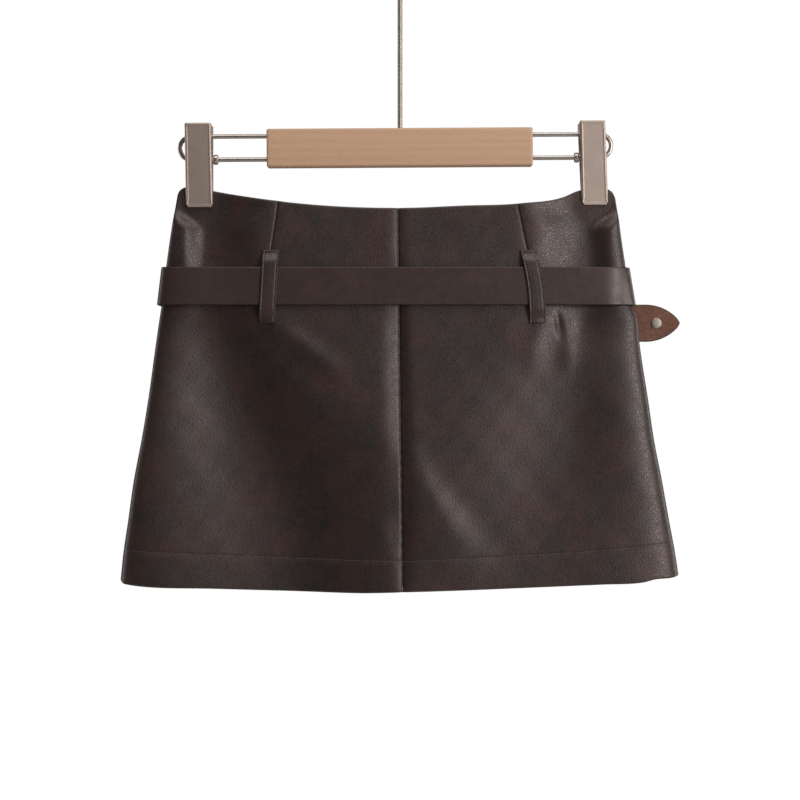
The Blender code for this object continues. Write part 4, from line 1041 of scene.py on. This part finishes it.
# ---- Belt loops
# Four folded strips of the same faux leather, 12 mm wide, topstitched along both edges. Each is sewn flat to
# the panel at its top and bottom, with its ends turned under, and stands up over the belt between them.
LOOP_WIDTH = 12.4
LOOP = 1.8  # a loop's thickness
LOOP_TOP, LOOP_LOW = -256.0, -312.7
LOOPS = {
    # name: panel, then the middle of the loop at its top, at the belt and at its lower end
    "loop_back_left": ("back", (-99.5, -101.0, -102.4)),
    "loop_back_right": ("back", (99.2, 104.4, 106.2)),
    "loop_front_left": ("front", (-101.0, -102.0, -103.0)),
    "loop_front_right": ("front", (100.0, 102.0, 104.0)),
}
LOOP_SEWN = 1.5  # the flat stretch at each end, and the stretch over which it rises from there
LOOP_RISE = 9.5
LOOP_UNDER = 12.0
LOOP_EDGE = 0.75  # radius of its edges
LOOP_THIN, LOOP_TURNED = 0.25, 0.9  # share of its thickness at the very ends, and how soon it is full
LOOP_LINE = 4.7  # from the middle to each line of stitches
LOOP_GROOVE, LOOP_GROOVE_REACH = 0.32, 0.42  # how deep the lines of stitches lie
LOOP_SWELL, LOOP_SWELL_REACH = 0.10, 3.2  # how far the middle stands up between them
LOOP_SIDE_RUB, LOOP_END_RUB = 0.5, 0.6
LOOP_PITCH, LOOP_STITCH = 2.9, 2.1
LOOP_FIRST, LOOP_LAST = 2.0, 1.5  # from its ends to where the stitches start and stop
LOOP_THREAD_SUNK = 0.18


def loop_under(panel, x, z):
    """How far a loop's inner face is from the middle plane: on the panel at its ends, on the belt between."""
    lift = smooth((LOOP_TOP - LOOP_SEWN - z) / LOOP_RISE) * smooth((z - LOOP_LOW - LOOP_SEWN) / LOOP_RISE)
    on_panel = np.abs(on_cloth(panel, x, z)[..., 1]) + GAP
    on_belt = belt_face(x, np.clip(z, LOOP_LOW + LOOP_UNDER, LOOP_TOP - LOOP_UNDER), panel) + BELT + GAP
    return on_panel + (np.maximum(on_belt, on_panel) - on_panel) * lift


def on_loop(panel, middles, across, z, out):
    """Points of a loop, at distances across from its middle line and out from its inner face."""
    x = spline(tuple(zip((LOOP_TOP, BELT_HEIGHT, LOOP_LOW), middles)), 1, z) + across
    return stacked(x, FACING[panel] * (loop_under(panel, x, z) + out), z)


near_end = np.array([0, 0.12, 0.35, 0.7])
z = np.concatenate([LOOP_TOP - near_end, np.linspace(LOOP_TOP - 1.2, LOOP_LOW + 1.2, 96),
                    LOOP_LOW + near_end[::-1]])[:, None]
thin = LOOP_THIN + (1 - LOOP_THIN) * arched(np.minimum(LOOP_TOP - z, z - LOOP_LOW) / LOOP_TURNED)
profile = strap_profile(LOOP / 2, LOOP_EDGE, 31)
across = profile[:, 0] * LOOP_WIDTH / 2 + profile[:, 1] * thin
outer = profile[:, 2] > 0
sunk = LOOP_GROOVE * bell(np.abs(across) - LOOP_LINE, LOOP_GROOVE_REACH)
sunk = sunk - LOOP_SWELL * bell(across, LOOP_SWELL_REACH)
deep = LOOP / 2 + profile[:, 2] * thin - sunk * outer - (1 - thin) * LOOP / 2
rub = LOOP_SIDE_RUB * bell(np.abs(across) - LOOP_WIDTH / 2, 0.5) * outer
rub = np.clip(rub + LOOP_END_RUB * (1 - thin), 0, 1)
heights = np.arange(LOOP_TOP - LOOP_FIRST, LOOP_LOW + LOOP_LAST, -LOOP_PITCH)
stitch_z, beside = (grid.ravel() for grid in np.meshgrid(heights, (-LOOP_LINE, LOOP_LINE)))
for name, (panel, middles) in LOOPS.items():
    strip = ring_swept(on_loop(panel, middles, across, z, deep))
    add_piece(f"{name}_strip", strip, [PANEL_LEATHER], [name], attributes={"rubbed": rub})
    before, centres, after = (
        on_loop(panel, middles, beside, stitch_z + step, LOOP - LOOP_THREAD_SUNK)
        for step in (0.4, 0, -0.4)
    )
    run = unit(after - before)
    out = np.cross(run, (1.0, 0, 0))
    out = unit(out * np.sign(out[:, 1:2] * FACING[panel]))
    add_piece(f"{name}_stitches", stitch_row(centres, run, out, LOOP_STITCH), [THREAD])

# ---- Hanger bar
# A short bar of pale beech, its long edges eased by hand and lacquered. Its ends are drilled for the two
# wires and its top for the hook's stem.
LEAN = math.radians(0.35)  # the whole hanger hangs a little askew
BAR_SIZE = (207.0, 13.0, 29.8)
BAR_MIDDLE = -0.2
BAR_HEIGHT = -175.4
BAR_EDGE = 1.7  # radius of its edges


def leaned(solid):
    """A solid of the hanger, turned about its stem by the hanger's lean."""
    x, y, z = solid[0].T
    z = z - BAR_HEIGHT
    turned_x, turned_z = x * math.cos(LEAN) - z * math.sin(LEAN), x * math.sin(LEAN) + z * math.cos(LEAN)
    return stacked(turned_x, y, turned_z + BAR_HEIGHT), solid[1]


def beech():
    """Pale lacquered beech: growth rings cut along the bar, short dark flecks and end grain at its ends."""
    material, tree, place = new_material("pale_beech")
    along = add_node(tree, "Mapping", Vector=place, Scale=(0.045, 1.0, 1.0), Rotation=(0.25, 0.03, 0.02))
    grain = along.outputs[0]
    bend = add_node(tree, "TexNoise", Vector=grain, Scale=55.0, Detail=3.0)
    shift = add_node(tree, "VectorMath", {"operation": "MULTIPLY_ADD"},
                     _0=bend.outputs["Color"], _1=(0.012, 0.012, 0.012), _2=grain)
    rings = add_node(tree, "TexWave", {"wave_type": "RINGS", "rings_direction": "X"},
                     Vector=shift.outputs[0], Scale=48.0, Distortion=2.5, Detail=2.0, Detail_Scale=1.2)
    streaks = add_node(tree, "TexNoise", Vector=grain, Scale=900.0, Detail=4.0, Roughness=0.65).outputs["Fac"]
    short = add_node(tree, "Mapping", Vector=place, Scale=(0.14, 1.0, 1.0))
    specks = add_node(tree, "TexNoise", Vector=short.outputs[0], Scale=1500.0, Detail=2.0)
    flecks = ranged(tree, specks.outputs["Fac"], From_Min=0.66, From_Max=0.76)
    colour = layered(tree, (0.665, 0.40, 0.25), (rings.outputs["Fac"], (0.60, 0.345, 0.21)),
                     (streaks, (0.70, 0.44, 0.285)), (flecks, (0.50, 0.275, 0.165)))
    return finished(material, colour, ranged(tree, streaks, To_Min=0.42, To_Max=0.56), streaks, 0.25, 0.00008)


def rounded_bar(size, edge, stations=60):
    """A box with round edges along X: rounded rectangles that shrink near both ends by the same quarter arc.

    At a distance d < edge from an end, the section moves in by edge - sqrt(edge^2 - (edge - d)^2).
    """
    corner = arc(0, 0, 1, quarter(7))
    from_end = np.concatenate([edge * (1 - np.cos(quarter(7))), np.linspace(edge, size[0] / 2, stations)[1:]])
    x = np.concatenate([from_end - size[0] / 2, (size[0] / 2 - from_end)[-2::-1]])[:, None]
    from_end = np.concatenate([from_end, from_end[-2::-1]])[:, None, None]
    section = np.concatenate([
        (sy * (size[1] / 2 - edge), sz * (size[2] / 2 - edge))
        + edge * arched(from_end / edge) * corner[::order] * (sy, sz)
        for sy, sz, order in ((1, 1, 1), (-1, 1, -1), (-1, -1, 1), (1, -1, -1))
    ], axis=1)
    return stacked(x, section[..., 0], section[..., 1])


bar = ring_swept(rounded_bar(BAR_SIZE, BAR_EDGE) + (BAR_MIDDLE, 0, BAR_HEIGHT))
add_piece("hanger_bar_wood", leaned(bar), [beech()], ["hanger_bar"], sharp=60)

# ---- Hook
# Steel wire, plated like the clips. Its stem comes straight up out of the bar, swings aside and bends over
# into an open hook whose crown hangs on the rail.
HOOK_WIRE = 1.9  # radius of the wire
HOOK_BEND = 20.0  # radius of the bend
HOOK_JOIN, HOOK_TIP = 215, -30  # degrees round the bend where the stem joins it and where the wire ends
HOOK_SWING = 36.0  # from the bend's centre down to where the stem starts to swing
HOOK_PULLS = (12.0, 14.0)  # how strongly that curve keeps to its first and last direction
centre = HOOK_WIRE - HOOK_BEND
start = math.radians(HOOK_JOIN)
joins = arc(0, centre, HOOK_BEND, start)
leaves = np.array([0.0, centre - HOOK_SWING])
t = np.linspace(0, 1, 30)[:, None]
aim_low = leaves + (0, HOOK_PULLS[0])
aim_high = joins - HOOK_PULLS[1] * np.array([math.sin(start), -math.cos(start)])
swing = (1 - t) ** 3 * leaves + 3 * (1 - t) ** 2 * t * aim_low + 3 * (1 - t) * t**2 * aim_high + t**3 * joins
turn = np.radians(np.arange(HOOK_JOIN - 4, HOOK_TIP - 1, -4.0))
crown = arc(0, centre, HOOK_BEND, turn)
stem = stacked(0, np.linspace(BAR_HEIGHT + BAR_SIZE[2] / 2 - 2, leaves[1], 24)[:-1])
x, z = np.concatenate([stem, swing, crown]).T
add_piece("hanger_hook_wire", rod(stacked(x, 0, z), HOOK_WIRE), [DULL_NICKEL], ["hanger_hook"])

# ---- Side wires
# One loop of plated steel wire on each side: out of the bar's end along the top, round a half circle and back
# below into the same end. The clip slides and turns on it.
WIRE_RADIUS = 1.75
WIRE_UPPER, WIRE_LOWER = -165.7, -183.8
WIRE_BEND = (WIRE_UPPER - WIRE_LOWER) / 2
WIRE_ENDS = {"left": -171.6, "right": 164.6}
WIRE_IN_WOOD = 3.0
for name, end in WIRE_ENDS.items():
    outmost = abs(end) - WIRE_BEND
    straight = np.linspace(BAR_SIZE[0] / 2 - WIRE_IN_WOOD, outmost, 24)[:-1]
    bend = arc(outmost, (WIRE_UPPER + WIRE_LOWER) / 2, WIRE_BEND, np.radians(np.linspace(90, -90, 33)))
    x, z = np.concatenate([stacked(straight, WIRE_UPPER), bend, stacked(straight[::-1], WIRE_LOWER)]).T
    loop = rod(stacked(math.copysign(1, end) * x, 0, z), WIRE_RADIUS)
    add_piece(f"wire_{name}_loop", leaned(loop), [NICKEL], [f"wire_{name}"])

# ---- Clips
# On each side two pressed steel plates with folded sides, nickel plated, pivot on the lower wire. A coil
# spring round the wire presses their lower ends together on the cloth, and a bead keeps the clip on its wire.
CLIP_SHAPES = {
    # clip: half its width at the top and at the bottom, and how far its top leans across
    "left": (10.3, 10.5, -0.2),
    "right": (9.9, 10.35, -2.3),
}
PLATE = 0.9  # the plates' thickness
CLIP_CORNER, CLIP_CORNER_HEIGHT = 1.2, 2.5  # how much each lower corner is rounded off, and over what height
CLIP_FOLD, CLIP_FOLD_INSIDE = 1.5, 0.9  # radius of the folds at the sides
CLIP_TOP_ROUND = 1.3
CLIP_PROFILE = (
    # height, outer face from the middle plane, depth of the folded sides
    (-156.2, 11, 5), (-163, 10.15, 5.55), (-171, 9.15, 5.75), (-180, 8.03, 5.03), (-184.5, 7.47, 4.77),
    (-190, 6.79, 4.09), (-203, 5.17, 2.77), (-208, 4.55, 2.5), (-220.8, 2.95, 0.9),
)
LIP_STEPS = np.array([0.1, 0.35, 0.6, 0.85, 1.1])  # columns in from each fold, over the lip
LIP_DEPTH = 0.22
NECK_RADIUS, NECK_OUT, NECK_IN = 2.45, 0.9, 6.0  # the bead's neck, from beside the clip to inside it
BORE_GAP = 0.05  # between the bead and its wire
BEAD_RADIUS, BEAD_LENGTH, BEAD_EDGE = 3.9, 3.4, 0.6
SPRING_WIRE, SPRING_RADIUS = 0.62, 2.75
SPRING_TURNS = 9
SPRING_SHORT = 2.4  # how far it ends from the clip's side
PLATE_NICKEL = nickel("plate_nickel", 0.52, 0.58, (0.54, 0.43, 0.37), (0.60, 0.48, 0.41))


def folded_section(wide, out, side, corner, sunk):
    """A plate's section at each height: flat across, a quarter arc at each fold, then the folded sides.

    Between two lips along the folds, the face is pressed in by sunk. Returns (heights, points, 2) of
    (across, out).
    """
    turn = quarter(6)
    corner = np.minimum(corner, side * 0.8)
    arc_x, arc_y = wide - corner * (1 - np.sin(turn)), out - corner * (1 - np.cos(turn))
    side_y = arc_y[:, -1:] + np.linspace(0, 1, 4)[1:] * (out - side - arc_y[:, -1:])
    x = np.concatenate([arc_x, wide + 0 * side_y], axis=1)
    y = np.concatenate([arc_y, side_y], axis=1)
    lip = arc_x[:, :1] - LIP_STEPS
    flat = np.concatenate([-lip, np.linspace(-1, 1, 8)[1:-1] * lip[:, -1:], lip[:, ::-1]], axis=1)
    pressed = smooth((arc_x[:, :1] - np.abs(flat) - LIP_STEPS[0]) / np.ptp(LIP_STEPS[:4]))
    return stacked(np.concatenate([-x[:, ::-1], flat, x], axis=1),
                   np.concatenate([y[:, ::-1], out - sunk * pressed, y], axis=1))


top, low = CLIP_PROFILE[0][0], CLIP_PROFILE[-1][0]
z = np.concatenate([top - CLIP_TOP_ROUND * (1 - np.cos(quarter(6))), np.linspace(top - 1.6, low + 2.4, 60),
                    low + np.array([2.1, 1.8, 1.5, 1.2, 0.8, 0.5, 0.25, 0.1, 0])])[:, None]
sunk = LIP_DEPTH * smooth((z - low - 1.2) / 0.9) * smooth((top - z - 1.6) / 1.2)
up, wire_up = (z - low) / (top - low), (WIRE_LOWER - low) / (top - low)
narrower = CLIP_CORNER * (1 - smooth((z - low) / CLIP_CORNER_HEIGHT))
out, side = spline(CLIP_PROFILE, 1, z), spline(CLIP_PROFILE, 2, z)
rolled = CLIP_TOP_ROUND * (1 - arched((top - z) / CLIP_TOP_ROUND))
for name, middle in CLIPS.items():
    half_top, half_low, lean = CLIP_SHAPES[name]
    wide = half_low + (half_top - half_low) * up - narrower
    outer = folded_section(wide - 0.6 * rolled, out - rolled, side - rolled, CLIP_FOLD, sunk)
    deep = np.maximum(PLATE, rolled + 0.35)
    inner = folded_section(wide - PLATE, out - deep, side - PLATE, CLIP_FOLD_INSIDE, 0)
    for plate, facing in (("front", -1), ("back", 1)):
        solid = walled(*(stacked(middle + lean * up + grid[..., 0], facing * grid[..., 1], z)
                         for grid in (outer, inner)))
        add_piece(f"clip_{name}_{plate}_plate", leaned(solid), [PLATE_NICKEL],
                  [f"clip_{name}_{plate}"], sharp=35)
    inwards = 1 if middle < 0 else -1
    middle = middle + lean * wire_up
    half = half_low + (half_top - half_low) * wire_up
    bead = half + NECK_OUT
    turn = quarter(5)[::-1]
    ring = stacked(BEAD_EDGE * (1 - np.sin(turn)), BEAD_RADIUS - BEAD_EDGE * (1 - np.cos(turn)))
    profile = np.concatenate([
        [(-NECK_IN, WIRE_RADIUS + BORE_GAP), (-NECK_IN, NECK_RADIUS), (bead, NECK_RADIUS)],
        ring + (bead, 0), (ring * (-1, 1))[::-1] + (bead + BEAD_LENGTH, 0),
        [(bead + BEAD_LENGTH, WIRE_RADIUS + BORE_GAP)],
    ])
    centres = stacked(middle + inwards * profile[:, 0], 0, WIRE_LOWER)
    rings = turned(centres, profile[:, 1], (inwards, 0, 0), 32)
    add_piece(f"clip_{name}_bead", leaned(ring_swept(rings, closed=True)), [NICKEL])
    start = abs(middle) + WIRE_BEND - abs(WIRE_ENDS[name]) + 1
    t = np.linspace(0, 1, SPRING_TURNS * 20)
    sideways, upright = arc(0, WIRE_LOWER, SPRING_RADIUS, math.pi / 2 - t * SPRING_TURNS * 2 * math.pi).T
    helix = stacked(middle + inwards * (start + t * (half - SPRING_SHORT - start)), sideways, upright)
    coil = rod(helix, SPRING_WIRE, 8)
    add_piece(f"clip_{name}_coil", leaned(coil), [NICKEL], [f"clip_{name}_spring"])

# ---- Studio
# A pale floor well below the hanger, a strong soft light high at the front right, and weak ones in front,
# behind both sides and above. The camera looks at the garment's back, level with its middle.
LIGHTS = (
    # name, place, the point that it faces, width and height, watts
    ("key", (1.6, -1.95, 0.0), (0.05, 0, -0.38), (0.9, 1.8), 33.5),
    ("front", (0.25, -2.6, -0.2), (0, 0, -0.38), (1.0, 1.8), 0.7),
    ("side", (1.8, 0.5, -0.3), (0.15, 0, -0.38), (0.7, 1.6), 12),
    ("left", (-1.8, 0.3, -0.3), (-0.15, 0, -0.38), (0.7, 1.6), 8),
    ("top", (0.2, -0.5, 1.1), (0, 0, -0.35), (1.6, 0.9), 12),
)
AMBIENT = 0.065
FLOOR_HEIGHT, FLOOR_RADIUS = -1600.0, 2600.0
camera = put_in_scene("camera", bpy.data.cameras.new("camera"))
camera.location = (0, -1.5, -0.372)
camera.rotation_euler = (math.pi / 2, 0, 0)
camera.data.sensor_width = 36
camera.data.lens = 86.54
bpy.context.scene.camera = camera

for name, spot, aim, size, watts in LIGHTS:
    lamp = bpy.data.lights.new(name, "AREA")
    lamp.shape = "RECTANGLE"
    lamp.size, lamp.size_y = size
    lamp.energy = watts
    made = put_in_scene(name, lamp)
    made.location = spot
    x, y, z = unit(np.subtract(aim, spot))
    made.rotation_euler = (math.acos(-z), 0, math.atan2(x, -y) + math.pi)

world = bpy.data.worlds.new("studio")
bpy.context.scene.world = world
world.use_nodes = True
tree = world.node_tree
tree.nodes.clear()
seen, around = (
    add_node(tree, "Background", Color=(1, 1, 1), Strength=light).outputs[0] for light in (1.0, AMBIENT)
)
ray = add_node(tree, "LightPath").outputs["Is Camera Ray"]
add_node(tree, "OutputWorld", Surface=add_node(tree, "MixShader", _0=ray, _1=around, _2=seen).outputs[0])
bpy.context.scene.view_settings.view_transform = "Standard"

rim = FLOOR_RADIUS * spokes(*np.eye(3)[:2], 96) + (0, 0, FLOOR_HEIGHT)
disc = new_mesh("floor", rim, [range(len(rim))])
pale, tree, _ = new_material("pale_floor")
feed(tree, tree.nodes["Principled BSDF"].inputs["Base Color"], (0.82, 0.81, 0.80))
feed(tree, tree.nodes["Principled BSDF"].inputs["Roughness"], 0.85)
disc.materials.append(pale)
floor = put_in_scene("floor", disc)
